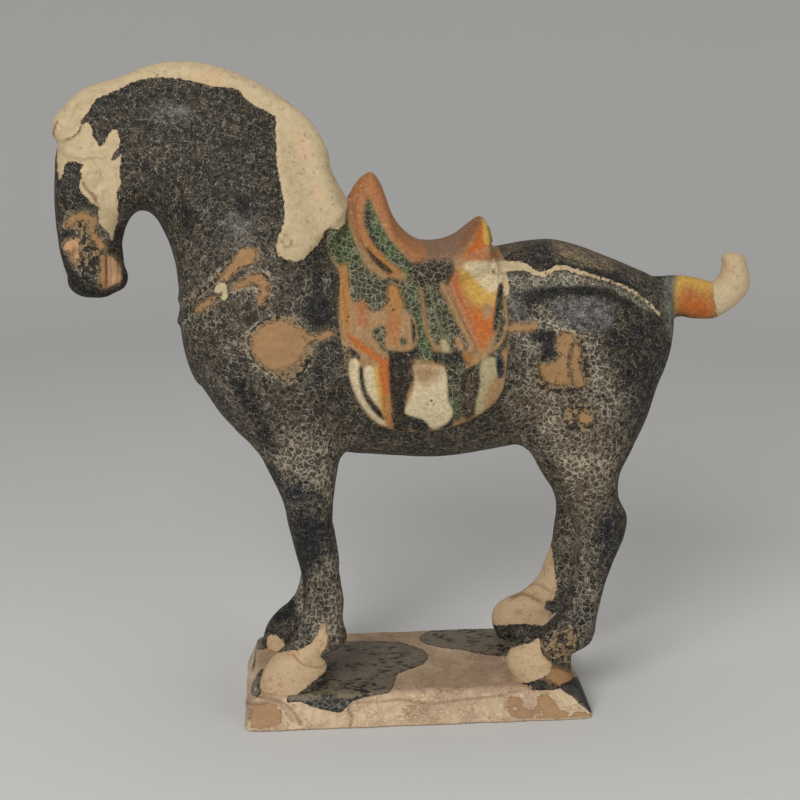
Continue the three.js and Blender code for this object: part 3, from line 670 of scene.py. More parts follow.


# Glaze areas of the horse, and one strip of painted shadow: colour, how worn it is (0 to 1), softness of the
# edge in pixels, which side, and the outline. "both" areas are mirrored to the hidden side, "near" ones are
# left out there, and "far" ones lie on what shows of the far legs. Later areas cover earlier ones.
HORSE_TINTS = [
    (EARTH, 0.36, 40, "both", shape(190, 240, 300, 250, 335, 300, 335, 430, 280, 440, 220, 400, 185, 320)),
    (EARTH, 0.7, 30, "both", shape(500, 300, 600, 320, 620, 380, 600, 460, 570, 480, 530, 440, 505, 380)),
    (EARTH, 0.42, 20, "both", shape(330, 428, 400, 440, 480, 432, 530, 420, 530, 470, 330, 480)),
    (BARK, 0.2, 8, "both", shape(500, 236, 560, 232, 610, 246, 660, 268, 650, 276, 610, 264, 560, 250,
        500, 254)),
    (FAWN, 0.3, 8, "near", shape(558, 246, 584, 250, 610, 262, 606, 270, 580, 262, 560, 256)),
    (INK_AND_SHADOW, 0.1, 5, "near", shape(524, 244, 548, 244, 552, 262, 540, 268, 526, 262)),
    (EARTH, 0.68, 14, "both", shape(262, 430, 335, 445, 335, 480, 320, 500, 275, 480)),
    (EARTH, 0.68, 12, "both", shape(300, 560, 340, 560, 346, 660, 300, 660, 292, 610)),
    (EARTH, 0.55, 14, "both", shape(545, 430, 610, 440, 600, 520, 600, 640, 560, 640, 560, 540)),
    (BARK, 0.72, 22, "both", shape(516, 392, 586, 394, 606, 436, 604, 490, 574, 506, 546, 474, 524, 436)),
    (SOOT, 0.35, 9, "both", shape(525, 430, 548, 440, 572, 520, 572, 600, 556, 600, 550, 520)),
    (SLATE, 0.06, 4, "both", shape(553, 300, 590, 297, 610, 302, 617, 318, 609, 329, 590, 333, 568, 330,
        555, 318)),
    (ASH, 0.45, 4, "both", shape(506, 275, 530, 277, 560, 272, 600, 280, 640, 297, 656, 312, 640, 306,
        600, 290, 560, 286, 524, 290, 508, 288)),
    (SLATE, 0.2, 4, "both", shape(508, 300, 524, 300, 524, 318, 508, 318)),
    (SLATE, 0.2, 12, "near", shape(155, 105, 186, 106, 190, 118, 160, 120)),
    (SLATE, 0.2, 10, "near", shape(232, 214, 250, 218, 252, 246, 232, 240)),
    (SLATE, 0.2, 6, "near", shape(94, 224, 110, 224, 112, 240, 98, 240)),
    (SLATE, 0.6, 2, "near", shape(93, 262, 98, 260, 101, 270, 100, 284, 95, 284, 93, 272)),
    (INK_AND_SHADOW, 0.13, 14, "both", shape(604, 330, 664, 322, 668, 380, 650, 412, 636, 392, 616, 372)),
    (NAVY, 0.26, 10, "near", shape(284, 482, 316, 484, 324, 512, 322, 560, 306, 574, 290, 556, 282, 520)),
    (NAVY, 0.02, 9, "near", shape(292, 518, 318, 520, 322, 552, 308, 572, 294, 556)),
    (INK_AND_SHADOW, 0.1, 4, "near", shape(264, 462, 280, 476, 286, 520, 298, 556, 294, 566, 278, 536, 268, 500)),
    (NAVY, 0.1, 8, "both", shape(598, 520, 628, 516, 628, 552, 604, 556)),
    (INK_AND_SHADOW, 0, 5, "near", shape(299, 322, 303, 306, 312, 298, 330, 296, 333, 316, 327, 327, 312, 330)),
    (INK_AND_SHADOW, 0, 5, "near", shape(179, 205, 192, 208, 196, 222, 190, 230, 180, 225)),
    (INK_AND_SHADOW, 0, 8, "near", shape(236, 196, 250, 198, 250, 216, 238, 214)),
    (INK_AND_SHADOW, 0.08, 5, "near", shape(231, 378, 243, 375, 254, 388, 262, 404, 262, 420, 250, 416, 236, 398)),
    (INK_AND_SHADOW, 0.1, 4, "near", shape(252, 410, 262, 414, 272, 430, 276, 452, 262, 446)),
    (INK_AND_SHADOW, 0.2, 8, "near", shape(302, 338, 330, 336, 336, 372, 340, 400, 326, 404, 308, 372)),
    (INK_AND_SHADOW, 0, 3, "both", shape(526, 291, 552, 287, 602, 286, 616, 292, 634, 304, 626, 308, 604, 297,
        556, 297, 534, 306, 524, 304)),
    # Painted shadow: a black line along the upper edge of the crupper strap
    (INK_AND_SHADOW, 0, 2.5, "both", shape(528, 262, 545, 264, 562, 262, 580, 267, 600, 271, 620, 277, 640, 290,
        622, 285, 600, 277, 580, 272, 562, 266, 545, 269, 535, 270)),
    (INK_AND_SHADOW, 0, 2.5, "near", shape(530, 329, 545, 329, 557, 335, 555, 352, 560, 356, 548, 363, 540, 358,
        542, 344, 532, 340)),
    (INK_AND_SHADOW, 0, 2.5, "near", shape(312, 261, 318, 261, 319, 300, 313, 300)),
    (INK_AND_SHADOW, 0, 2, "near", shape(319.5, 266, 322, 266, 323, 300, 320, 300)),
    (INK_AND_SHADOW, 0, 2.5, "near", shape(330, 262, 334, 262, 335, 300, 332, 300)),
    (INK_AND_SHADOW, 0.1, 5, "near", shape(70, 176, 80, 184, 88, 196, 84, 206, 74, 200, 66, 186)),
    (INK_AND_SHADOW, 0, 4, "both", shape(55, 232, 63, 236, 68, 258, 76, 272, 88, 279, 100, 287, 124, 284, 126, 250,
        130, 270, 126, 304, 60, 304, 50, 250)),
    (INK_AND_SHADOW, 0, 4, "far", shape(262, 596, 290, 592, 296, 612, 284, 622, 270, 616)),
    (INK_AND_SHADOW, 0, 3, "near", shape(299, 556, 304, 556, 307, 603, 301, 606)),
    (INK_AND_SHADOW, 0.55, 4, "near", shape(572, 612, 596, 606, 602, 636, 584, 646, 578, 634)),
    (INK_AND_SHADOW, 0.1, 5, "near", shape(616, 520, 632, 516, 628, 560, 604, 640, 592, 644, 606, 580)),
    (SOOT, 0.88, 4, "near", shape(66, 214, 90, 212, 98, 222, 104, 244, 108, 252, 100, 262, 94, 284, 84, 280,
        72, 264, 62, 244, 62, 226)),
    (INK_AND_SHADOW, 0.82, 3, "near", shape(80, 236, 90, 234, 99, 246, 102, 256, 96, 270, 86, 274, 80, 256)),
    (INK_AND_SHADOW, 0.1, 3, "near", shape(62, 231, 70, 229, 80, 236, 78, 240, 70, 239, 63, 242)),
    (INK_AND_SHADOW, 0.1, 3, "near", shape(82, 274, 90, 276, 98, 282, 94, 290, 82, 286)),
    (EARTH, 0.93, 7, "near", shape(246, 336, 262, 318, 286, 314, 306, 324, 316, 344, 310, 368, 290, 384,
        268, 376, 250, 360)),
    (EARTH, 0.86, 5, "near", shape(182, 300, 204, 284, 224, 264, 238, 252, 258, 247, 262, 262, 246, 270,
        228, 276, 206, 294, 184, 308)),
    (EARTH, 0.86, 5, "near", shape(182, 322, 204, 306, 228, 290, 250, 272, 268, 272, 274, 290, 266, 312,
        256, 310, 256, 290, 240, 290, 220, 302, 190, 322)),
    (EARTH, 0.84, 5, "near", shape(536, 366, 556, 358, 560, 332, 578, 332, 586, 352, 588, 384, 570, 392,
        542, 390)),
    (EARTH, 0.88, 3, "near", shape(541, 640, 556, 630, 576, 628, 580, 650, 572, 662, 556, 660, 546, 652)),
    (EARTH, 0.85, 6, "near", shape(566, 408, 592, 406, 596, 424, 580, 430, 566, 424)),
    (BARK, 0.5, 1.4, "near", band(0.5, 137, 143, 148, 158, 160, 175)),
    (BARK, 0.5, 1.4, "near", band(0.4, 140, 143, 152, 155, 162, 165)),
    (GREY_GREEN, 0.3, 5, "both", shape(664, 270, 678, 270, 680, 330, 664, 330)),
    (YELLOW, 0.3, 5, "both", shape(677, 274, 700, 272, 730, 272, 732, 320, 700, 330, 678, 328)),
    (AMBER, 0.3, 5, "both", shape(686, 284, 700, 290, 716, 292, 724, 300, 720, 320, 684, 324, 678, 300)),
    (ORANGE, 0.3, 6, "both", shape(684, 294, 698, 298, 710, 306, 708, 318, 690, 320, 680, 310)),
    (BARK, 0.3, 4, "both", shape(676, 312, 690, 317, 704, 320, 716, 318, 712, 328, 676, 328)),
]
COAT_WORN = 0.2

SADDLE_AREA = shape(345, 193, 353, 174, 368, 166, 382, 176, 385, 193, 394, 213, 404, 230, 415, 237,
    433, 240, 455, 232, 470, 221, 484, 213, 493, 220, 497, 245, 505, 262, 508, 300, 510, 336, 507, 360,
    504, 385, 494, 403, 475, 417, 451, 427, 427, 431, 398, 431, 376, 423, 361, 408, 352, 388, 345, 366,
    343, 350, 339, 325, 339, 300, 340, 280, 337, 268, 329, 255, 328, 232, 344, 205)

# Over the whole saddle and its cloths, which lie on a tan ground: colour, how worn, softness and outline
SADDLE_TINTS = [
    (MOSS, 0.62, 4, shape(342, 205, 352, 214, 362, 262, 386, 276, 412, 284, 420, 300, 418, 330, 404, 312,
        392, 300, 376, 312, 352, 300, 344, 270, 329, 254, 329, 232)),
    (GREEN, 0.64, 3, shape(344, 205, 350, 216, 355, 240, 363, 258, 354, 268, 342, 266, 328, 250, 324, 238,
        325, 230, 337, 226, 341, 214)),
    (TERRACOTTA, 0.2, 3, shape(345, 190, 352, 174, 370, 164, 382, 174, 387, 196, 396, 216, 408, 231,
        424, 238, 430, 250, 418, 262, 402, 250, 388, 234, 378, 214, 371, 202, 366, 220, 374, 244, 392, 264,
        400, 272, 388, 276, 372, 262, 358, 244, 350, 218)),
    (SAND, 0.2, 2, shape(345, 196, 349, 197, 352, 218, 360, 241, 373, 261, 386, 275, 383, 279, 368, 265,
        355, 243, 347, 219)),
    (OCHRE, 0.2, 2, shape(362, 226, 367, 236, 377, 248, 391, 263, 399, 272, 393, 272, 380, 261, 370, 250,
        364, 240)),
    (UMBER, 0.1, 2, shape(366, 246, 372, 253, 382, 262, 392, 271, 389, 274, 378, 266, 370, 257)),
    (GREEN, 0.5, 3, shape(368, 197, 372, 205, 378, 218, 389, 238, 402, 253, 414, 266, 418, 276, 404, 272,
        387, 259, 374, 243, 365, 222, 365, 206)),
    (UMBER, 0.2, 3, shape(366, 206, 370, 214, 371, 228, 378, 244, 386, 254, 376, 246, 368, 232, 364, 218)),
    (MAUVE, 0.3, 5, shape(404, 238, 430, 240, 456, 232, 470, 222, 476, 232, 462, 252, 446, 266, 424, 266,
        408, 254)),
    (TERRACOTTA, 0.3, 4, shape(400, 238, 412, 238, 424, 246, 426, 256, 416, 262, 406, 254)),
    (UMBER, 0.5, 4, shape(410, 266, 424, 262, 446, 260, 458, 268, 450, 284, 430, 290, 412, 286)),
    (RUSSET, 0.2, 3, shape(466, 231, 474, 221, 481, 216, 480, 225, 472, 235, 464, 245, 459, 246)),
    (ORANGE, 0.2, 2.5, shape(472, 242, 480, 224, 486, 218, 490, 236, 487, 248, 474, 254, 464, 260,
        462, 256)),
    (YELLOW, 0.2, 2, shape(483, 215, 489, 216, 492, 230, 490, 244, 484, 242, 483, 230)),
    (SAND, 0.3, 3, shape(454, 264, 466, 256, 480, 252, 488, 246, 500, 252, 503, 260, 480, 262, 464, 264,
        456, 271)),
    (TERRACOTTA, 0.2, 2, shape(464, 257, 476, 252, 490, 252, 498, 257, 484, 260, 468, 261)),
    (GREEN, 0.55, 3, shape(406, 278, 412, 280, 420, 304, 424, 330, 432, 346, 434, 360, 420, 360, 416, 332,
        412, 304)),
    (OCHRE, 0.2, 3, shape(340, 268, 347, 266, 349, 300, 351, 334, 343, 338, 339, 300)),
    (SAND, 0.2, 3, shape(337, 306, 341, 304, 343, 330, 350, 350, 343, 350, 338, 330)),
    (TERRACOTTA, 0.2, 4, shape(356, 304, 366, 303, 368, 326, 358, 327)),
    (SAND, 0.2, 3, shape(350, 326, 366, 328, 376, 318, 394, 318, 400, 340, 398, 352, 390, 354, 380, 346,
        366, 344, 350, 340)),
    (OCHRE, 0.2, 3, shape(388, 286, 397, 286, 403, 304, 403, 320, 397, 332, 390, 322, 388, 304)),
    (TERRACOTTA, 0.2, 3, shape(388, 322, 398, 318, 400, 334, 394, 342, 388, 336)),
    (SAND, 0.15, 2, shape(399, 308, 408, 312, 415, 321, 417, 336, 411, 349, 402, 352, 399, 348, 406, 342,
        406, 332, 402, 320)),
    (INK_AND_SHADOW, 0.1, 1.2, shape(411, 318, 414, 324, 416, 334, 413, 344, 412, 336, 411.5, 326)),
    (GREEN, 0.2, 2, shape(400, 338, 406, 339, 406, 344, 400, 345)),
    (OCHRE, 0.2, 2, shape(392, 340, 399, 340, 399, 346, 393, 347)),
    (MOSS, 0.75, 2, shape(372, 333, 378, 327, 384, 326, 386, 334, 384, 344, 388, 352, 382, 350, 378, 343)),
    (MOSS, 0.55, 3, shape(424, 288, 436, 286, 446, 300, 456, 322, 468, 344, 462, 352, 446, 348, 432, 340,
        426, 314)),
    (OLIVE, 0.4, 1.6, shape(427, 284, 430, 284, 436.6, 310, 445, 336, 453, 351, 449, 352, 441, 336,
        434, 311)),
    (SAND, 0.3, 1.6, shape(440, 284, 445, 283, 455, 302, 466, 324, 479, 350, 474, 352, 462, 328, 450, 303)),
    (RED, 0.2, 4, shape(450, 280, 458, 272, 464, 296, 474, 318, 482, 340, 480, 349, 473, 334, 462, 311,
        453, 292)),
    (AMBER, 0.2, 3, shape(458, 276, 470, 282, 480, 300, 497, 300, 496, 316, 492, 334, 482, 349, 475, 326,
        462, 300)),
    (YELLOW, 0.2, 6, shape(460, 270, 472, 272, 484, 284, 497, 290, 495, 304, 484, 308, 474, 302, 464, 288)),
    (ORANGE, 0.2, 6, shape(470, 306, 480, 310, 486, 318, 494, 318, 492, 334, 482, 349, 478, 336, 472, 322)),
    (SAND, 0.2, 4, shape(484, 304, 492, 306, 490, 316, 483, 314)),
    (CREAM, 0.1, 3, shape(464, 266, 472, 262, 500, 262, 508, 264, 506, 276, 498, 288, 490, 293, 480, 284,
        470, 274)),
    (UMBER, 0.1, 1.2, shape(492, 269, 496, 269, 496, 274, 492, 273)),
    (INK_AND_SHADOW, 0.1, 1.6, shape(499, 284, 503, 286, 502, 300, 499, 316, 496, 330, 493, 328, 496, 300)),
    (MOSS, 0.4, 3, shape(500, 300, 510, 300, 510, 340, 498, 356, 482, 372, 462, 376, 478, 362, 494, 346)),
    (SAND, 0.3, 1.4, shape(503, 300, 506, 302, 508.4, 324, 506, 336, 499, 347, 481, 361, 462, 374, 460, 371,
        478, 359, 496, 345, 503.6, 333, 505.4, 322)),
    (CELADON, 0.2, 2.5, shape(440, 341, 446, 340, 450, 352, 444, 354)),
    (SAND, 0.2, 2, shape(455, 338, 461, 338, 464, 350, 457, 348)),
    (OCHRE, 0.2, 2.5, shape(463, 354, 471, 353, 474, 361, 466, 363)),
    (INK_AND_SHADOW, 0.1, 2, shape(389, 351, 402, 352, 411, 351, 418, 346, 420, 359, 400, 361, 390, 358)),
    (INK_AND_SHADOW, 0.1, 2.5, shape(434, 352, 448, 353, 458, 350, 464, 357, 464, 369, 448, 366, 434, 362)),
    (ORANGE, 0.15, 2.5, shape(349, 334, 356, 338, 366, 346, 378, 355, 389, 361, 390, 367, 378, 363,
        366, 354, 354, 345)),
    (SAND, 0.2, 2, shape(349, 343, 360, 352, 374, 361, 388, 368, 384, 370, 368, 364, 354, 354)),
    (UMBER, 0.1, 1.5, shape(349, 347, 354, 350, 360, 356, 358, 362, 352, 360)),
    (BARK, 0.5, 2, shape(340, 348, 349, 350, 350, 370, 356, 392, 368, 412, 362, 412, 343, 374)),
    (CREAM, 0.1, 1.6, shape(351, 360, 358, 360, 361, 380, 368, 400, 377, 413, 388, 425, 378, 423, 364, 409,
        354, 391, 349, 372)),
    (UMBER, 0.1, 2, shape(359, 368, 364, 369, 367, 390, 375, 404, 386, 413, 383, 420, 370, 408, 361, 390)),
    (CREAM, 0.1, 1.8, shape(364, 368, 374, 368, 377, 388, 383, 404, 389, 420, 382, 411, 373, 400,
        366, 388)),
    (YELLOW, 0.15, 3, shape(374, 366, 379, 368, 383, 392, 390, 418, 386, 420, 378, 398)),
    (ORANGE, 0.15, 2.5, shape(379, 363, 389, 362, 390, 392, 391, 424, 387, 421, 382, 394)),
    (OCHRE, 0.2, 4, shape(381, 398, 391, 396, 393, 420, 390, 426, 384, 416)),
    (UMBER, 0.08, 2, shape(390, 356, 414, 360, 416, 376, 408, 392, 406, 410, 410, 430, 394, 430, 391, 400)),
    (NAVY, 0.1, 2, shape(407, 415, 420, 414, 430, 424, 428, 431, 412, 430)),
    (MOSS, 0.45, 3, shape(444, 364, 464, 368, 466, 392, 462, 418, 452, 418, 448, 396)),
    (GREEN, 0.5, 2.5, shape(444, 396, 452, 394, 458, 404, 455, 416, 446, 418, 444, 406)),
    (NAVY, 0.1, 2, shape(438, 420, 448, 414, 454, 418, 450, 428, 440, 429)),
    (CREAM, 0.1, 1.8, shape(414, 365, 430, 366, 444, 368, 447, 382, 448, 400, 453, 412, 447, 423, 433, 429,
        424, 420, 409, 415, 405, 409, 413, 391, 415, 378)),
    (SAND, 0.1, 9, shape(414, 364, 430, 365, 442, 368, 436, 378, 424, 384, 416, 380)),
    (UMBER, 0.2, 2.5, shape(464, 372, 480, 366, 480, 388, 474, 416, 464, 418, 462, 394)),
    (BARK, 0.2, 3, shape(468, 378, 473, 376, 474, 396, 470, 412, 466, 404)),
    (CELADON, 0.1, 2, shape(484, 358, 498, 359, 499, 373, 504, 382, 500, 395, 486, 407, 478, 418, 476, 404,
        480, 386, 480, 367)),
    (SAND, 0.2, 5, shape(494, 376, 504, 382, 500, 396, 488, 407, 484, 400)),
    (NAVY, 0.1, 1.6, shape(496, 356, 503, 356, 504, 374, 498, 378)),
]
CLOTH_WORN = 0.25

# Cream slip on the horse, besides its mane
CREAM_AREAS = [
    ("both", shape(57, 141, 66, 139, 75, 135, 80, 129, 82, 124, 88, 123, 92, 129, 94, 138, 100, 146,
        105, 141, 109, 133, 114, 129, 118, 132, 120, 141, 119, 147, 113, 155, 111, 161, 116, 159, 121, 153,
        121, 163, 120, 174, 121, 183, 117, 192, 118, 204, 118, 221, 115, 229, 112, 241, 109, 233, 103, 228,
        99, 222, 98, 214, 99, 208, 94, 205, 88, 200, 82, 193, 79, 185, 82, 178, 80, 170, 84, 165, 79, 163,
        72, 162, 66, 164, 63, 173, 59, 180, 57.5, 168, 57, 152)),
    ("near", shape(214, 290, 219, 283, 224, 282, 228, 290, 227, 298, 221, 301, 222, 293, 217, 294)),
    ("near", shape(323, 622, 328, 636, 327, 646, 321, 656, 327, 664, 325, 672, 313, 682, 301, 692, 289, 697,
        250, 701, 248, 684, 258, 668, 276, 653, 301, 649, 315, 638)),
    ("near", shape(503, 673, 504, 657, 513, 647, 530, 643, 539, 638, 541, 650, 546, 658, 552, 664, 548, 674,
        537, 680, 518, 683)),
    ("near", shape(592, 635, 600, 633, 601, 645, 593, 646)),
    ("far", shape(551, 545, 554, 562, 556, 579, 557, 588, 553, 600, 546, 602, 545, 609, 552, 612, 552, 622,
        546, 626, 520, 624, 494, 625, 486, 612, 500, 590, 522, 570, 541, 562, 546, 552)),
    ("far", shape(267, 637, 276, 635, 284, 642, 283, 652, 270, 655)),
    ("both", shape(496, 262, 512, 261, 526, 263, 535, 269, 542, 272, 552, 267, 563, 264.6, 574, 268,
        586, 272, 594, 276, 586, 276, 574, 273, 563, 269.5, 553, 272, 543, 277, 534, 275, 524, 271,
        506, 272, 496, 276)),
    ("both", band(1.5, 590, 275, 606, 280, 624, 287, 640, 296, 650, 304, 659, 315)),
    ("near", shape(503, 276, 508, 276, 509, 294, 504, 294)),
    ("both", shape(716, 230, 760, 230, 770, 330, 726, 330, 714, 300, 712, 268)),
    ("near", shape(278, 113, 275.6, 126, 276.4, 161, 280, 182, 283.6, 200, 283.6, 223, 280, 232, 276.4, 252,
        282.7, 258, 293, 261.5, 302, 260, 311, 252, 322, 240, 325, 231, 336, 225, 339, 214, 343, 206, 347,
        190, 330, 140, 300, 100)),
]

# Bare clay on the horse, and where it is pinker and paler
CLAY_AREAS = [
    ("near", shape(66, 224, 72, 215, 82, 212, 92, 216, 97, 223, 94, 229, 101, 240, 106, 248, 102, 250,
        94, 242, 90, 232, 88, 221, 76, 221, 72, 228)),
    ("near", shape(64, 243, 70, 240, 78, 239, 79, 246, 80, 254, 76, 262, 71, 260, 69, 252, 64, 249)),
    ("near", shape(101, 256, 110, 256, 117, 260, 121, 270, 120, 281, 112, 286, 101, 287, 100, 270)),
    ("both", shape(253, 338, 264, 327, 278, 321, 294, 326, 306, 338, 303, 351, 294, 363, 278, 370, 262, 364,
        253, 352)),
    ("both", shape(302, 331, 314, 336, 330, 330, 330, 337, 314, 341, 304, 338)),
    ("near", shape(220, 277, 231, 264, 238, 254, 247, 247, 255, 251, 255, 259, 245, 265, 234, 272,
        225, 281)),
    ("near", shape(232, 289, 240, 281, 252, 275, 264, 276, 268, 286, 262, 304, 258, 300, 260, 288, 254, 283,
        244, 287)),
    ("near", shape(196, 309, 208, 299, 216, 296, 212, 302, 200, 312)),
    ("near", shape(557, 340, 561, 334, 567, 333, 572, 338, 570, 346, 567, 356, 568, 372, 568, 383, 550, 384,
        545, 379, 541, 364, 549, 365, 557, 361, 561, 354, 557, 348)),
    ("near", shape(572.5, 340, 577, 344, 580, 352, 579, 364, 581, 374, 585, 384, 578, 386, 573.5, 378,
        572.5, 366, 573.5, 352)),
    ("near", shape(579, 414, 588, 413, 592, 418, 586, 423, 580, 421)),
    ("near", shape(505, 326, 520, 324, 536, 324, 536, 330, 520, 331, 506, 331)),
    ("near", shape(545, 672, 552, 668, 562, 669, 572, 672, 578, 676, 572, 684, 558, 685, 548, 680)),
]
PINK_AREAS = [
    ("near", shape(108, 258, 114, 256, 119, 262, 122, 272, 120, 282, 113, 287, 108, 284)),
    ("near", shape(64, 243, 72, 238, 80, 240, 82, 252, 76, 264, 70, 262, 66, 252)),
]

# Thin brown lines where a glaze ends or runs into a groove, and lines of painted shade along the raised
# edges of the hooves' slip: the line and its half width in pixels
STAIN_AND_SHADE_LINES = [
    (curve(83, 183, 88, 191, 95, 197, 96, 203), 1.2),
    (curve(53, 139, 54, 130, 57, 122), 0.9),
    (curve(82, 120, 80, 131, 72, 138, 63, 142), 0.6),
    (curve(106, 257, 107, 271, 107, 286), 1.0),
    (curve(110, 258, 110.5, 272, 110, 285), 0.5),
    (curve(117, 258, 118, 272, 116, 284), 0.4),
    # Painted shade along the raised edges of the slip on the hooves
    (curve(293, 655, 301, 663, 312, 667, 322, 667, 327, 662), 0.8),
    (curve(323, 622, 328, 636, 327, 647), 0.6),
    (curve(541, 641, 546, 655, 552, 664, 562, 670, 577, 675), 0.8),
    (curve(287, 234, 282, 239, 284, 246, 290, 247, 292, 241), 0.6),
    (curve(352, 196, 355, 220, 363, 243, 376, 262), 0.5),
]
FAR_STAINS = [
    (curve(512, 598, 522, 594, 532, 597, 541, 602), 1.7),
    (curve(524, 589, 533, 584, 542, 586, 550, 591, 555, 592), 0.7),
]


def area_distance(p, side, outline, reach=REACH):
    """Signed distance in pixels into an area on one or both sides of the horse."""
    if side == "far":
        distance = inside_distance(seen(to_frame(p)), outline, reach)
        return np.where(p[:, 1] > 2, distance, -reach)
    distance = inside_distance(picture_place(p), outline, reach)
    if side == "near":
        distance = np.maximum(distance - 3 * np.maximum(p[:, 1], 0), -reach)
    return distance


def deepest(p, areas):
    return np.max([area_distance(p, side, outline) for side, outline in areas], axis=0)


def glazed_over(ground, share, colour, how_worn):
    """Rows of colour and wear with a share of another glaze laid over them."""
    share = share[:, None]
    return ground * (1 - share) + np.append(linear(colour), how_worn) * share


def horse_glazes(p):
    """The ground colour of the glaze with its painted shadow line, how worn it is, and how deep a point lies
    in the painted parts.
    """
    ground = np.tile(np.append(linear(SOOT), COAT_WORN), (len(p), 1))
    for colour, how_worn, soft, side, outline in HORSE_TINTS:
        share = rise_over(area_distance(p, side, outline, max(REACH, soft)), soft)
        ground = glazed_over(ground, share, colour, how_worn)
    saddle = np.where(p[:, 2] > 104, area_distance(p, "both", SADDLE_AREA), -REACH)
    on_saddle = rise_over(saddle, 1.5) * rise_over(p[:, 2] - CLOTH_Z, 10)
    ground = glazed_over(ground, on_saddle, TAN, CLOTH_WORN)
    for colour, how_worn, soft, outline in SADDLE_TINTS:
        share = rise_over(area_distance(p, "both", outline), soft) * on_saddle
        ground = glazed_over(ground, share, colour, how_worn)
    tail = (p[:, 0] - 113) / PX
    return ground[:, :3], ground[:, 3], np.clip(np.maximum(saddle, tail), -REACH, REACH) * PX


def horse_slips(p):
    """Millimetres into the cream slip and into the bare clay, and how pink the clay is."""
    mane = np.where(p[:, 2] > 195, area_distance(p, "both", MANE_BAND), -REACH)
    cream = np.maximum(deepest(p, CREAM_AREAS), mane)
    return cream * PX, deepest(p, CLAY_AREAS) * PX, rise_over(deepest(p, PINK_AREAS), 4)


def lined(q, lines, here, soft):
    """How dark thin lines are at picture places q, where here holds."""
    share = np.zeros(len(q))
    for line, half_width in lines:
        where = close_to(q, line, 4)
        where = where[here[where]]
        if len(where):
            distance, _ = line_distance(q[where], line)
            share[where] = np.maximum(share[where], rise_over(half_width - distance, soft))
    return share


class Value:
    """What a node gives. Arithmetic on it adds the nodes that work it out."""

    def __init__(self, nodes, socket):
        self.nodes, self.socket = nodes, socket

    def __add__(self, other):
        return self.nodes.math("ADD", self, other)

    def __sub__(self, other):
        return self.nodes.math("SUBTRACT", self, other)

    def __rsub__(self, other):
        return self.nodes.math("SUBTRACT", other, self)

    def __mul__(self, other):
        return self.nodes.math("MULTIPLY", self, other)

    def __pow__(self, power):
        return self.nodes.math("POWER", self, power)

    def __abs__(self):
        return self.nodes.math("ABSOLUTE", self, 0.0)

    def clamped(self):
        """Keeps what its math node gives from 0 to 1."""
        self.socket.node.use_clamp = True
        return self


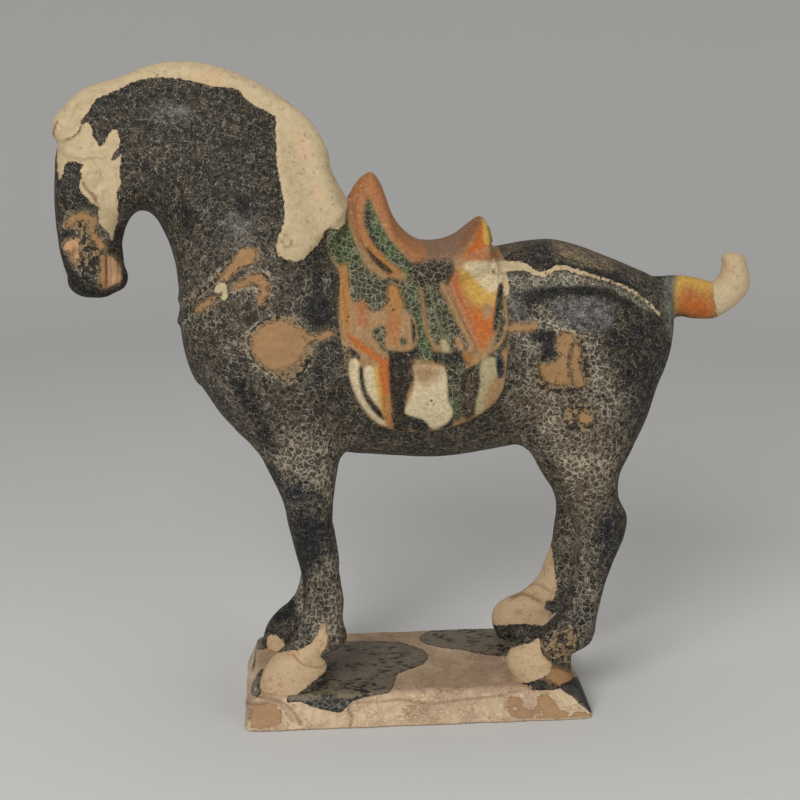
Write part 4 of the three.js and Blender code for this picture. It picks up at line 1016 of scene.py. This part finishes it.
class Nodes:
    """A material's node tree, with short ways to add to it. Colours are given as seen."""

    def __init__(self, name):
        self.material = bpy.data.materials.new(name)
        self.material.use_nodes = True
        self.tree = self.material.node_tree
        self.tree.nodes.clear()
        self.place = self.scaled(self.put("TexCoord", {}, "Object"), 1000.0)

    def put(self, kind, inputs, output=0, **settings):
        """Adds a node, feeds its inputs and gives one of its outputs."""
        node = self.tree.nodes.new("ShaderNode" + kind)
        for name, value in settings.items():
            setattr(node, name, value)
        for name, value in inputs.items():
            socket = node.inputs[name]
            if isinstance(value, Value):
                self.tree.links.new(value.socket, socket)
            elif isinstance(value, tuple) and socket.type == "RGBA":
                socket.default_value = (*linear(value), 1)
            else:
                socket.default_value = value
        return Value(self, node.outputs[output])

    def math(self, operation, a, b):
        return self.put("Math", {0: a, 1: b}, operation=operation)

    def larger(self, a, b):
        return self.math("MAXIMUM", a, b)

    def scaled(self, vector, scale):
        return self.put("VectorMath", {0: vector, "Scale": scale}, operation="SCALE")

    def moved(self, *shift):
        """The place shifted, so that one noise doesn't follow another."""
        return self.put("VectorMath", {0: self.place, 1: shift}, operation="ADD")

    def noise(self, size, detail=2.0, roughness=0.5, place=None, output="Fac"):
        """Soft noise with lumps of about the given size in millimetres."""
        inputs = {"Vector": place or self.place, "Scale": 1 / size, "Detail": detail, "Roughness": roughness}
        return self.put("TexNoise", inputs, output)

    def cells(self, size, place):
        """Crackle cells: millimetres to the nearest crack, and two chance values for each cell."""
        inputs = {"Vector": place, "Scale": 1.0 / size}
        edge = self.put("TexVoronoi", inputs, "Distance", feature="DISTANCE_TO_EDGE")
        chance, second, _ = self.parts(self.put("TexVoronoi", inputs, "Color", feature="F1"), "SeparateColor")
        return edge * size, chance, second

    def step(self, value, start, end, low=0.0, high=1.0):
        """Rises smoothly from low to high as the value goes from start to end."""
        inputs = {"Value": value, "From Min": start, "From Max": end, "To Min": low, "To Max": high}
        return self.put("MapRange", inputs, "Result", interpolation_type="SMOOTHSTEP")

    def mix(self, share, a, b):
        """A colour from a to b."""
        return self.put("Mix", {0: share, 6: a, 7: b}, 2, data_type="RGBA")

    def between(self, share, a, b):
        """A number from a to b."""
        return self.put("Mix", {0: share, 2: a, 3: b}, data_type="FLOAT")

    def attribute(self, name):
        return self.put("Attribute", {}, "Vector", attribute_name=name)

    def parts(self, value, kind="SeparateXYZ"):
        """The three numbers of a vector or colour."""
        first = self.put(kind, {0: value})
        return [Value(self, output) for output in first.socket.node.outputs]

    def warped(self, size, reach, seed=0.0):
        """The place moved about by soft noise."""
        lumps = self.noise(size, place=self.moved(seed, seed * 0.7, seed * 1.3), output="Color")
        centred = self.put("VectorMath", {0: lumps, 1: (0.5, 0.5, 0.5)}, operation="SUBTRACT")
        return self.put("VectorMath", {0: self.place, 1: self.scaled(centred, reach * 2)}, operation="ADD")

    def ragged(self, distance, flake, amount):
        """A signed distance with its edge broken up by soft noise and by flakes that came off whole."""
        soft = (self.noise(1.6, 3.0) - 0.5) * (amount * 2.5)
        return distance + (soft + (flake - 0.5) * (amount * 1.6))

    def winding(self, noise, width, widest):
        """Long thin lines that wander where a noise passes its middle."""
        return 1 - self.step(abs(noise - 0.5), width, widest)

    def finish(self, colour, roughness, height, depth, specular):
        """Ends the tree in its shader, with the height in lumps of the given depth in metres."""
        bump = self.put("Bump", {"Height": height, "Distance": depth})
        shader = self.put("BsdfPrincipled", {
            "Base Color": colour, "Roughness": roughness, "Specular IOR Level": specular, "Normal": bump,
        })
        out = self.tree.nodes.new("ShaderNodeOutputMaterial")
        self.tree.links.new(shader.socket, out.inputs[0])
        return self.material


def horse_material():
    n = Nodes("horse_glaze")
    ground = n.attribute("ground")
    cream_edge, clay_edge, painted_edge = n.parts(n.attribute("edges"))
    worn, stain_and_shade, pink = n.parts(n.attribute("wear"))
    grain, uneven, soft, broad = n.noise(0.4), n.noise(2.4, 3.0), n.noise(3.0, 3.0), n.noise(15.0, 3.0)
    big, chance, second = n.cells(2.8, n.warped(2.2, 0.6))
    small, small_chance, flake = n.cells(1.35, n.warped(0.9, 0.4, 31.0))
    is_painted = n.step(painted_edge, -0.2, 0.2)
    unpainted = 1 - is_painted
    light = n.put("RGBToBW", {0: ground})

    # Dark glaze: crackle cells that shrink to islands as it wears
    torn = n.step(n.noise(1.0, 4.0, 0.65, n.moved(5.0, 70.0, 21.0)), 0.36, 0.6, 0.12, 1.25)
    stir = (broad - 0.5) * 1.1 + (soft - 0.5) * 0.8
    here = n.between(is_painted, (worn + stir * n.step(worn, 0.0, 0.3)).clamped(), worn)
    fade = n.step(uneven, 0.36, 0.62, 0.15, 1.0)
    half = n.between(here ** 2.0, 0.02, 0.4)
    line = (1 - n.step(big, half, half + 0.11)) * n.step(worn, 0.0, 0.15) * n.between(here, torn, 1.0)
    thin = n.between(here ** 3.0, -0.02, 0.2)
    fine = (1 - n.step(small, thin, thin + 0.1)) * torn * (fade * n.step(here, 0.25, 0.7, 0.85, 0.3))
    mottle = n.step(n.noise(0.7, 4.0, 0.72), 0.34, 0.68, 0.2, 2.3)
    shade = n.between(chance, 0.35, 1.1) * n.between(small_chance, 0.5, 1.25) * mottle
    dark = n.scaled(ground, shade)
    patch = n.noise(7.0, 3.0, place=n.moved(40.0, 9.0, 3.0))
    browned = n.step(patch, 0.48, 0.66, 0.0, 0.7) * (unpainted - n.step(light, 0.06, 0.1))
    dark = n.mix(browned.clamped(), dark, n.scaled((0.052, 0.04, 0.021), shade))
    blue = n.step(second, 0.6, 0.95) * n.step(patch, 0.36, 0.5, 1.0, 0.0)
    dark = n.mix(blue * 0.22, dark, (58, 60, 64))
    middle = n.scaled(n.mix(patch, (78, 72, 63), (112, 98, 78)), n.between(small_chance, 0.7, 1.2))
    middle = n.scaled(middle, n.step(here, 0.4, 0.8, 1.0, 1.16))
    thinned = n.step(here - chance * 0.7, 0.02, 0.3) * n.step(n.noise(1.3, 3.0, 0.6), 0.3, 0.56, 0.15, 1.0)
    dark = n.mix(thinned * n.between(is_painted, 0.85, 0.12), dark, middle)
    pale = n.mix(here, (128, 119, 104), (206, 195, 172))
    pale = n.mix(is_painted, pale, (158, 150, 128))
    is_bare = n.step(worn, 0.72, 0.79)
    pale = n.mix(is_bare, pale, n.mix(soft, (148, 122, 88), (180, 152, 112)))
    pale = n.mix(0.25, pale, n.scaled(ground, 3.0))
    pale = n.scaled(pale, n.step(grain, 0.3, 0.7, 0.5, 1.2))
    enough = n.step(worn, 0.8, 1.0, 0.45, 0.66)
    islands = n.step(n.noise(2.2, 2.5, 0.55), enough, enough + 0.02)
    strength = n.between(is_bare, n.larger(line * n.larger(fade, here), fine), 1 - islands)
    glaze = n.mix(strength, n.mix(is_bare * 0.8, dark, (27, 24, 22)), pale)
    flecks = n.step(n.noise(1.3, 3.0, 0.62, n.moved(9.0, 2.0, 50.0)), 0.55, 0.59) * unpainted
    glaze = n.mix(flecks * n.step(here, 0.15, 0.4, 0.0, 0.8), glaze, (33, 30, 27))
    dots = n.step(n.noise(0.7, 2.0, 0.6), 0.585, 0.65) * n.step(uneven, 0.4, 0.58, 0.15, 1.0)
    dots = dots * n.step(worn, 0.0, 0.12, 0.2, 0.5) * n.between(is_painted, 1.0, 0.45)
    glaze = n.mix(dots, glaze, (164, 156, 138))

    # Coloured glazes: soft runs, where they are light, over the same crackle where they are dark
    run = n.scaled(ground, n.between(soft, 0.78, 1.2))
    run = n.scaled(run, n.step(n.noise(1.6, 4.0, 0.6), 0.3, 0.7, 0.82, 1.16))
    cracks = ((1 - n.step(small, 0.02, 0.12)) * torn).clamped()
    run = n.mix(cracks * n.step(soft, 0.42, 0.66, 0.0, 0.5), run, (92, 64, 44))
    pale_cracks = ((1 - n.step(big, 0.02, 0.16)) * torn).clamped()
    run = n.mix(pale_cracks * n.step(soft, 0.36, 0.56, 0.45, 0.0), run, (206, 184, 146))
    run = n.mix(n.step(broad + flake * 0.4, 1.0, 1.04) * 0.8, run, (58, 46, 36))
    glaze = n.mix(is_painted * n.step(light, 0.09, 0.15), glaze, run)

    # Bare clay
    broken_clay = n.ragged(clay_edge, flake, 0.8)
    is_clay = n.step(broken_clay, -0.12, 0.15)
    halo = n.step(clay_edge, -2.6, 0.2) * n.step(n.noise(1.4, 4.0, 0.65), 0.4, 0.6, 0.05, 0.8)
    glaze = n.mix(halo * unpainted, glaze, (136, 110, 78))
    clay = n.mix(soft, (140, 108, 72), (176, 138, 98))
    clay = n.mix(pink * 0.8, clay, n.mix(soft, (190, 142, 104), (208, 170, 134)))
    specks = n.step(n.noise(1.1, 3.0), 0.56, 0.66) * n.step(broad, 0.5, 0.6)
    clay = n.mix(specks * 0.7, clay, (84, 62, 46))
    clay = n.mix((1 - n.step(broken_clay, 0.0, 0.5)) * 0.5, clay, (78, 56, 40))
    surface = n.mix(is_clay, glaze, clay)

    # Cream slip, rosier and more stained low down
    broken_cream = n.ragged(cream_edge, flake, 0.4)
    is_cream = n.step(broken_cream, -0.1, 0.1)
    low = n.step(n.parts(n.place)[2], 60.0, 90.0, 1.0, 0.0)
    cream = n.mix(n.step(soft, 0.25, 0.75), (188, 167, 131), (201, 182, 146))
    cream = n.mix(n.larger(n.step(broad, 0.54, 0.7, 0.0, 0.65), low * 0.5), cream, (204, 170, 134))
    net = (1 - n.step(small, 0.01, 0.08)) * n.larger(n.step(uneven, 0.5, 0.66), low * 0.5)
    long_crack = n.winding(n.noise(9.0, 4.0, 0.6), 0.002, 0.012) * n.step(uneven, 0.4, 0.6)
    cream = n.mix(n.larger(net * 0.4, long_crack * 0.6), cream, (126, 90, 58))
    speck = n.step(n.noise(0.7, 3.0, 0.7), 0.6, 0.68) * n.step(soft, 0.45, 0.6, 0.1, 1.0)
    cream = n.mix(speck * 0.5, cream, (134, 98, 66))
    cream = n.mix(n.step(n.noise(4.5, 4.0, 0.65), 0.52, 0.7) * (low * 0.55), cream, (160, 120, 80))
    # A dark rim just inside the slip's edge: painted shade along its raised step
    cream = n.mix((1 - n.step(broken_cream, 0.0, 0.5)) * 0.5, cream, (110, 80, 52))
    surface = n.mix(is_cream, surface, cream)
    # Brown stain lines, and painted shade along the raised edges of the hooves' slip
    brown = n.mix(low, (84, 57, 38), (130, 88, 56))
    surface = n.mix(stain_and_shade * n.step(torn, 0.1, 0.8, 0.5, 0.85), surface, brown)

    gloss = n.between(n.larger(line, soft), 0.5, 0.8)
    roughness = n.between(n.larger(is_clay, is_cream * 0.5), gloss, 0.85)
    height = n.step(big, 0.0, 0.5) * 0.3 + soft * 0.5 + small_chance * 0.25 * (1 - is_cream)
    return n.finish(surface, roughness, height + is_cream * 0.9 - is_clay * 0.9, 0.00022, 0.2)


FINENESS = 1.0
HORSE_AXES = [
    stretched_axis([(-166, 2.5 * FINENESS), (-108, 2.85 * FINENESS), (162, 1)]),
    stretched_axis([(-48, 2.7 * FINENESS), (48, 1)]),
    stretched_axis([(-4, 2.8 * FINENESS), (290, 1)]),
]


def triangles_of(vertices, quads):
    """Each quad as two triangles, cut along its shorter diagonal."""
    a, b, c, d = (vertices[quads[:, k]] for k in range(4))
    short = np.linalg.norm(a - c, axis=1) <= np.linalg.norm(b - d, axis=1)
    one, other = quads[short], quads[~short]
    return np.concatenate([one[:, [0, 1, 2]], one[:, [0, 2, 3]], other[:, [0, 1, 3]], other[:, [1, 2, 3]]])


def refined(field, vertices, triangles, wanted):
    """Splits each edge that has both its ends wanted, and puts the new points on the surface."""
    pairs = np.concatenate([triangles[:, [k, (k + 1) % 3]] for k in range(3)])
    edges, which = np.unique(np.sort(pairs, axis=1), axis=0, return_inverse=True)
    split = wanted[edges].all(axis=1)
    number = np.full(len(edges), -1)
    number[split] = len(vertices) + np.arange(split.sum())
    added = on_surface(field, vertices[edges[split]].mean(axis=1))
    middles = number[which.ravel()].reshape(3, -1).T
    count = (middles >= 0).sum(axis=1)
    done = [triangles[count == 0]]
    for turn in range(3):
        a, b, c = np.roll(triangles, -turn, axis=1).T
        ab, bc, ca = np.roll(middles, -turn, axis=1).T
        cases = [
            ((count == 1) & (ab >= 0), ((a, ab, c), (ab, b, c))),
            ((count == 2) & (ca < 0), ((ab, b, bc), (a, ab, bc), (a, bc, c))),
        ]
        if turn == 0:
            cases.append((count == 3, ((a, ab, ca), (ab, b, bc), (ca, bc, c), (ab, bc, ca))))
        for here, corners in cases:
            done += [np.stack(corner, axis=1)[here] for corner in corners]
    return np.concatenate([vertices, added]), np.concatenate(done)


def faces_camera(vertices, triangles):
    """Whether the surface at each vertex is turned to the picture's camera, or nearly so."""
    a, b, c = (vertices[triangles[:, k]] for k in range(3))
    normal = np.cross(b - a, c - a)
    total = sum(summed(triangles[:, corner], normal, len(vertices)) for corner in range(3))
    ahead = to_frame(vertices) - CAMERA_PLACE
    ahead /= np.linalg.norm(ahead, axis=1)[:, None]
    return (unit(total) * ahead).sum(axis=1) < 0.12


def has_small_areas(p):
    """Whether a point is on the saddle and its cloths or on the disc, where small areas of colour meet."""
    q = picture_place(p)
    saddle = inside_distance(q, SADDLE_AREA) > -4
    disc = inside_distance(q, DISC) > -5
    return (saddle | disc) & (p[:, 2] > CLOTH_Z)


def needs_detail(p):
    """The near side of those parts, the head and the hooves."""
    head = (p[:, 0] < HEAD_X) & (p[:, 2] < 270)
    hooves = (p[:, 2] < 30) & (p[:, 1] < -22)
    return (p[:, 1] < 2) & (head | hooves | has_small_areas(p))


def store(mesh, name, *columns):
    """Keeps three numbers for each vertex, for the material to read."""
    attribute = mesh.attributes.new(name, "FLOAT_VECTOR", "POINT")
    attribute.data.foreach_set("vector", np.stack(columns, axis=1).astype(np.float32).ravel())


def make_horse():
    vertices, quads = meshed(horse_field, HORSE_AXES)
    vertices = settled(horse_field, on_surface(horse_field, vertices), quads)
    triangles = triangles_of(vertices, quads)
    wanted = faces_camera(vertices, triangles) | has_small_areas(vertices)
    p, triangles = refined(horse_field, vertices, triangles, wanted)
    p, triangles = refined(horse_field, p, triangles, needs_detail(p) & faces_camera(p, triangles))
    piece = mesh_object("horse_body", to_frame(p), triangles)
    colours, worn, painted = horse_glazes(p)
    cream, clay, pink = horse_slips(p)
    q = seen(to_frame(p))
    stain_and_shade = np.maximum(lined(q, STAIN_AND_SHADE_LINES, p[:, 1] < 1, 1.6), lined(q, FAR_STAINS, p[:, 1] > 8, 1.6))
    store(piece.data, "ground", *colours.T)
    store(piece.data, "edges", cream, clay, painted)
    store(piece.data, "wear", worn, stain_and_shade, pink)
    piece.data.materials.append(horse_material())
    return piece


# The plinth, in millimetres
PLINTH_HEIGHT = (PLINTH_HIGH.z - PLINTH_LOW.z) * 1000
PLINTH_LENGTH, PLINTH_WIDTH = (PLINTH_HIGH.x - PLINTH_LOW.x) * 1000, (PLINTH_HIGH.y - PLINTH_LOW.y) * 1000
PLINTH_SLOPE = 6.0
PLINTH_CORNER = 5.0
PLINTH_EDGE = 2.0

# Areas of glaze, of bare clay, of the blackest glaze and of slip that stayed on the clay
PUDDLES = [
    shape(286, 702, 300, 702, 312, 707, 333, 712, 343, 711, 352, 702, 371, 696, 389, 692, 394, 683,
        399, 673, 421, 665, 428, 656, 421, 649, 399, 642, 373, 641, 330, 642, 300, 650, 296, 680),
    shape(419, 638, 432, 630, 470, 622, 495, 620, 552, 618, 548, 636, 539, 640, 513, 655, 488, 655,
        462, 650, 432, 646),
    shape(251, 694, 252, 684, 257, 674, 263, 668, 262, 680, 260, 696),
    shape(253, 648, 253, 638, 260, 633, 268, 636, 268, 648),
    shape(554, 683, 562, 690, 572, 697, 580, 704, 590, 712, 600, 712, 598, 690, 586, 676, 570, 678),
    shape(590, 626, 600, 650, 606, 690, 580, 684, 572, 650, 560, 640, 562, 622),
]
PLINTH_CLAY = [
    shape(248, 712, 256, 706, 272, 704, 281, 712, 279, 724, 266, 729, 252, 728),
    shape(508, 703, 513, 697, 520, 699, 523, 706, 528, 709, 533, 712, 538, 706, 539, 698, 545, 694,
        551, 698, 557, 706, 564, 712, 573, 718, 556, 719.5, 530, 719, 511, 717),
    shape(577, 712, 588, 714, 593, 718, 580, 719, 572, 716),
]
BLACK_RUNS = [
    shape(540, 676, 553, 681, 562, 690, 576, 698, 586, 708, 592, 714, 604, 714, 598, 690, 588, 668,
        570, 668),
    shape(286, 700, 300, 701, 316, 700, 340, 698, 352, 700, 343, 713, 330, 714, 312, 709, 296, 706),
]
SLIP_CHIPS = [
    shape(512, 708, 516, 706, 519, 709, 516, 712, 512, 711),
    shape(533, 715, 538, 713, 542, 712, 541, 716, 535, 718),
]

# Brown cracks of the slip, and a patch where it is thin and speckled
PLINTH_CRACKS = [
    (curve(351, 702, 348, 710, 352, 717, 350, 726), 1.3),
    (curve(262, 697, 278, 701, 289, 708, 296, 716, 301, 725), 1.4),
    (curve(244, 702, 256, 705, 270, 701, 282, 705), 0.9),
    (curve(280, 706, 288, 713, 292, 721), 0.7),
    (curve(352, 703, 380, 702, 400, 700, 430, 704, 462, 700, 492, 697, 520, 691), 0.6),
]
THIN_SLIP = [
    shape(402, 706, 410, 700, 424, 702, 430, 710, 426, 720, 412, 723, 404, 716),
]


def plinth_ring(length, width, corner, z, count):
    """Points spaced evenly round a rectangle with rounded corners."""
    straight_x, straight_y = length - 2 * corner, width - 2 * corner
    arc = corner * math.pi / 2
    total = 2 * (straight_x + straight_y) + 4 * arc
    points = []
    for k in range(count):
        s = (k / count * total) % total
        for quarter in range(4):
            side, half = (straight_y, length / 2) if quarter % 2 == 0 else (straight_x, width / 2)
            way = quarter * math.pi / 2
            out = np.array([math.cos(way), math.sin(way)])
            along = np.array([-out[1], out[0]])
            if s <= side:
                point = out * half + along * (s - side / 2)
                break
            s -= side
            if s <= arc:
                angle = way + s / corner
                hub = out * (half - corner) + along * side / 2
                point = hub + corner * np.array([math.cos(angle), math.sin(angle)])
                break
            s -= arc
        points.append((point[0], point[1], z))
    return np.array(points)


def plinth_levels():
    """Length, width, corner radius and height of each ring, from the underside's middle to the top's."""
    def level(height, inset, corner=PLINTH_CORNER):
        spread = 2 * (PLINTH_SLOPE * height / PLINTH_HEIGHT + inset)
        return PLINTH_LENGTH - spread, PLINTH_WIDTH - spread, corner, height

    half = PLINTH_WIDTH / 2
    insets = (half - 0.01, 30, 20, 10, 4, 1.2)
    levels = [level(0, inset, PLINTH_CORNER * (1 - inset / half)) for inset in insets]
    levels.append(level(0.05, 0.5))
    steps = 24
    levels += [level(0.5 + (PLINTH_HEIGHT - PLINTH_EDGE - 0.5) * k / steps, 0.0) for k in range(steps + 1)]
    for k in range(1, 6):
        turn = k / 5 * math.pi / 2
        drop, inset = PLINTH_EDGE * (1 - math.sin(turn)), PLINTH_EDGE * (1 - math.cos(turn))
        levels.append(level(PLINTH_HEIGHT - drop, inset))
    half -= PLINTH_SLOPE + 0.01
    steps = 32
    for k in range(1, steps + 1):
        inset = PLINTH_EDGE + (half - PLINTH_EDGE) * k / steps
        levels.append(level(PLINTH_HEIGHT, inset, PLINTH_CORNER * (1 - inset / (half + 0.01))))
    return levels


def make_plinth():
    count = 880
    rings = np.array([plinth_ring(*level, count) for level in plinth_levels()])
    index = np.arange(len(rings) * count).reshape(len(rings), count)
    around = np.roll(index, -1, axis=1)
    quads = np.stack([index[:-1], around[:-1], around[1:], index[1:]], axis=-1).reshape(-1, 4)
    p = rings.reshape(-1, 3)
    x, y, z = p.T
    q = seen(p / 1000)
    hidden = (p[:, 1:2] > 0) & (p[:, 2:3] < PLINTH_HEIGHT - 2)
    shown = np.where(hidden, seen(folded(p, -1) / 1000), q)
    under = np.where(z > 0.6, 0.0, -REACH)

    def depth(areas):
        return np.max([inside_distance(shown, outline) for outline in areas], axis=0) + under

    puddle, black = depth(PUDDLES), depth(BLACK_RUNS)
    clay = np.minimum(depth(PLINTH_CLAY), -depth(SLIP_CHIPS))
    in_puddle = 0.3 * rise_over(puddle, 3)
    on_side = np.clip((PLINTH_HEIGHT - z) / 2.5, 0, 1) * (z > 0.02)
    on_top = np.clip((z - PLINTH_HEIGHT + PLINTH_EDGE) / PLINTH_EDGE, 0, 1)
    rough = 0.3 * waves(p, 22, 11) + 0.12 * waves(p, 6, 12)
    sink = np.maximum(0.35 + rough + 0.3 * rise_over(clay, 2), 0) - 0.25 * rise_over(puddle, 3)
    sink = on_side * np.maximum(sink, 0.0)
    end = np.abs(x) - PLINTH_LENGTH / 2 + PLINTH_WIDTH / 2
    is_end = np.clip((end - np.abs(y) + 2) / 4, 0, 1)
    moved = np.stack([
        x - np.sign(x) * is_end * sink,
        y - np.sign(y) * (1 - is_end) * sink,
        z - on_top * np.maximum(0.3 + 0.6 * rough - in_puddle, 0),
    ], axis=1)
    piece = mesh_object("plinth_body", moved / 1000, quads)
    cracks = lined(q, PLINTH_CRACKS, y < 0, 2.0)
    store(piece.data, "edges", puddle * PX, clay * PX, black * PX)
    store(piece.data, "wear", cracks, rise_over(depth(THIN_SLIP), 4), np.clip(-x / 10, 0, 1))
    piece.data.materials.append(plinth_material())
    return piece


def plinth_material():
    n = Nodes("plinth_slip")
    puddle_edge, clay_edge, black_edge = n.parts(n.attribute("edges"))
    marked, thin, veiny = n.parts(n.attribute("wear"))
    level = n.parts(n.place)[2]
    grain, soft, broad = n.noise(0.45), n.noise(3.5, 3.0), n.noise(18.0, 3.0)
    stirred = n.warped(2.2, 0.6, 9.0)
    big = n.cells(2.4, stirred)[0]
    small, _, flake = n.cells(1.3, n.warped(1.0, 0.25, 17.0))

    # Cream slip, dustier on top, with its cracks and specks
    slip = n.mix(n.step(soft, 0.3, 0.7), (194, 167, 134), (216, 192, 160))
    slip = n.mix(n.step(broad, 0.5, 0.66), slip, (196, 164, 138))
    top = n.step(level, PLINTH_HEIGHT - 3.0, PLINTH_HEIGHT - 0.6)
    dusty = n.mix(soft, (164, 136, 108), (198, 170, 140))
    slip = n.mix(top * n.step(broad, 0.3, 0.6, 0.55, 1.0), slip, dusty)
    crack = n.winding(n.noise(11.0, 5.0, 0.62), 0.002, 0.012) * n.step(soft, 0.35, 0.6)
    hair = (1 - n.step(small, 0.01, 0.09)) * n.step(broad, 0.4, 0.6, 0.05, 0.5)
    wide = n.winding(n.noise(7.0, 3.0, 0.55, n.moved(31.0, 5.0, 3.0)), 0.004, 0.022)
    crack = n.larger(n.larger(crack, hair), wide * n.step(broad, 0.42, 0.55) * 0.8)
    slip = n.mix(crack * 0.6, slip, (126, 90, 60))
    slip = n.mix(marked * n.step(n.noise(1.2, 3.0, 0.6), 0.3, 0.5, 0.3, 0.85), slip, (118, 82, 54))
    slip = n.mix(thin * n.step(n.noise(1.0, 4.0, 0.7), 0.46, 0.56, 0.1, 0.7), slip, (132, 104, 76))
    speck = n.step(n.noise(0.9, 3.0, 0.7), 0.6, 0.68) * n.step(broad, 0.38, 0.55)
    slip = n.mix(speck * 0.75, slip, (106, 78, 56))

    # Bare clay
    broken_clay = n.ragged(clay_edge, flake, 0.9)
    is_clay = n.step(broken_clay, -0.1, 0.1)
    clay = n.mix(soft, (162, 124, 88), (186, 150, 112))
    clay = n.mix((1 - n.step(broken_clay, 0.0, 0.6)) * 0.35, clay, (102, 74, 52))
    surface = n.mix(is_clay, slip, clay)

    # Puddles of glaze: dark islands on a thin ground, and veined black where they are deepest
    broken_puddle = n.ragged(puddle_edge, flake, 0.25)
    is_puddle = n.step(broken_puddle, -0.12, 0.12)
    stretched = n.put("VectorMath", {0: stirred, 1: (0.6, 1.3, 1.3)}, operation="MULTIPLY")
    island = n.step(n.noise(2.4, 3.0, 0.6, stretched), 0.51, 0.54) * n.step(n.noise(9.0), 0.4, 0.56)
    glaze = n.mix(island, n.mix(n.noise(1.6, 4.0, 0.7), (70, 60, 47), (148, 133, 108)), (30, 28, 27))
    veins = (1 - n.step(big, 0.02, 0.2)) * n.step(soft, 0.36, 0.6, 0.25, 0.9) * n.between(veiny, 0.2, 1.0)
    veined = n.mix(veins, n.mix(grain, (26, 25, 25), (50, 47, 43)), (150, 144, 128))
    glaze = n.mix(n.step(black_edge, -0.6, 0.8), glaze, veined)
    glaze = n.mix(1 - n.step(broken_puddle, 0.0, 0.7), glaze, (52, 44, 36))
    surface = n.mix(is_puddle, surface, glaze)
    surface = n.mix((1 - n.step(level, 0.2, 1.0)) * 0.6, surface, (92, 70, 54))

    height = soft * 0.8 + grain * 0.2 - crack * 0.5 - is_clay * 1.0 + is_puddle * 0.8
    return n.finish(surface, n.between(is_puddle, 0.82, 0.42), height, 0.0003, 0.4)


def make_backdrop():
    """A seamless pale sweep all round: flat under the figure and rising beyond it."""
    flat, far, high = 0.85, 1.75, 1.5
    sides, steps = 96, 16
    profile = [(0.3, 0.0), (0.6, 0.0), (flat, 0.0)]
    for k in range(1, steps + 1):
        turn = k / steps * math.pi / 2
        profile.append((flat + (far - flat) * math.sin(turn), high * (1 - math.cos(turn))))
    vertices, faces = [], []
    for radius, height in profile:
        for k in range(sides):
            angle = math.tau * k / sides
            vertices.append((radius * math.cos(angle), radius * math.sin(angle), height))
    for row in range(len(profile) - 1):
        for k in range(sides):
            a, b = row * sides + k, row * sides + (k + 1) % sides
            faces.append((a, a + sides, b + sides, b))
    faces.append(tuple(range(sides)))
    mesh = bpy.data.meshes.new("backdrop")
    mesh.from_pydata(vertices, [], faces)
    mesh.shade_smooth()
    paint = bpy.data.materials.new("backdrop")
    paint.use_nodes = True
    inputs = paint.node_tree.nodes["Principled BSDF"].inputs
    inputs["Base Color"].default_value = (0.72, 0.715, 0.7, 1)
    inputs["Roughness"].default_value = 0.9
    inputs["Specular IOR Level"].default_value = 0.15
    mesh.materials.append(paint)
    backdrop = add_object("backdrop", mesh)


SENSOR = 36.0    # millimetres across


def place_camera():
    data = bpy.data.cameras.new("camera")
    data.sensor_fit = "HORIZONTAL"
    data.sensor_width = SENSOR
    data.lens = FOCAL_PX * SENSOR / PICTURE_SIZE
    data.clip_start = 0.05
    camera = add_object("camera", data)
    camera.location = Vector(CAMERA_PLACE)
    camera.rotation_euler = Vector(VIEW_AHEAD).to_track_quat("-Z", "Y").to_euler()
    bpy.context.scene.camera = camera


LIT_PLACE = Vector((0, 0, 0.15))    # what the lights point at


def place_light(name, place, size, power):
    data = bpy.data.lights.new(name, "AREA")
    data.shape = "DISK"
    data.size = size
    data.energy = power
    light = add_object(name, data)
    light.location = place
    light.rotation_euler = (LIT_PLACE - Vector(place)).to_track_quat("-Z", "Y").to_euler()


horse = make_horse()
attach(horse, "root")
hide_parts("horse")

plinth = make_plinth()
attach(plinth, "root")
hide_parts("plinth")

make_backdrop()
place_camera()
place_light("key", (-0.5, -0.95, 0.85), 0.7, 9.5)
place_light("fill", (0.85, -0.95, 0.5), 0.9, 3.2)
place_light("top", (0.1, 0.2, 1.2), 1.0, 2.0)

world = bpy.data.worlds.new("world")
world.use_nodes = True
background = world.node_tree.nodes["Background"].inputs
background["Color"].default_value = (1, 1, 1, 1)
background["Strength"].default_value = 0.2
bpy.context.scene.world = world
bpy.context.scene.view_settings.view_transform = "Standard"
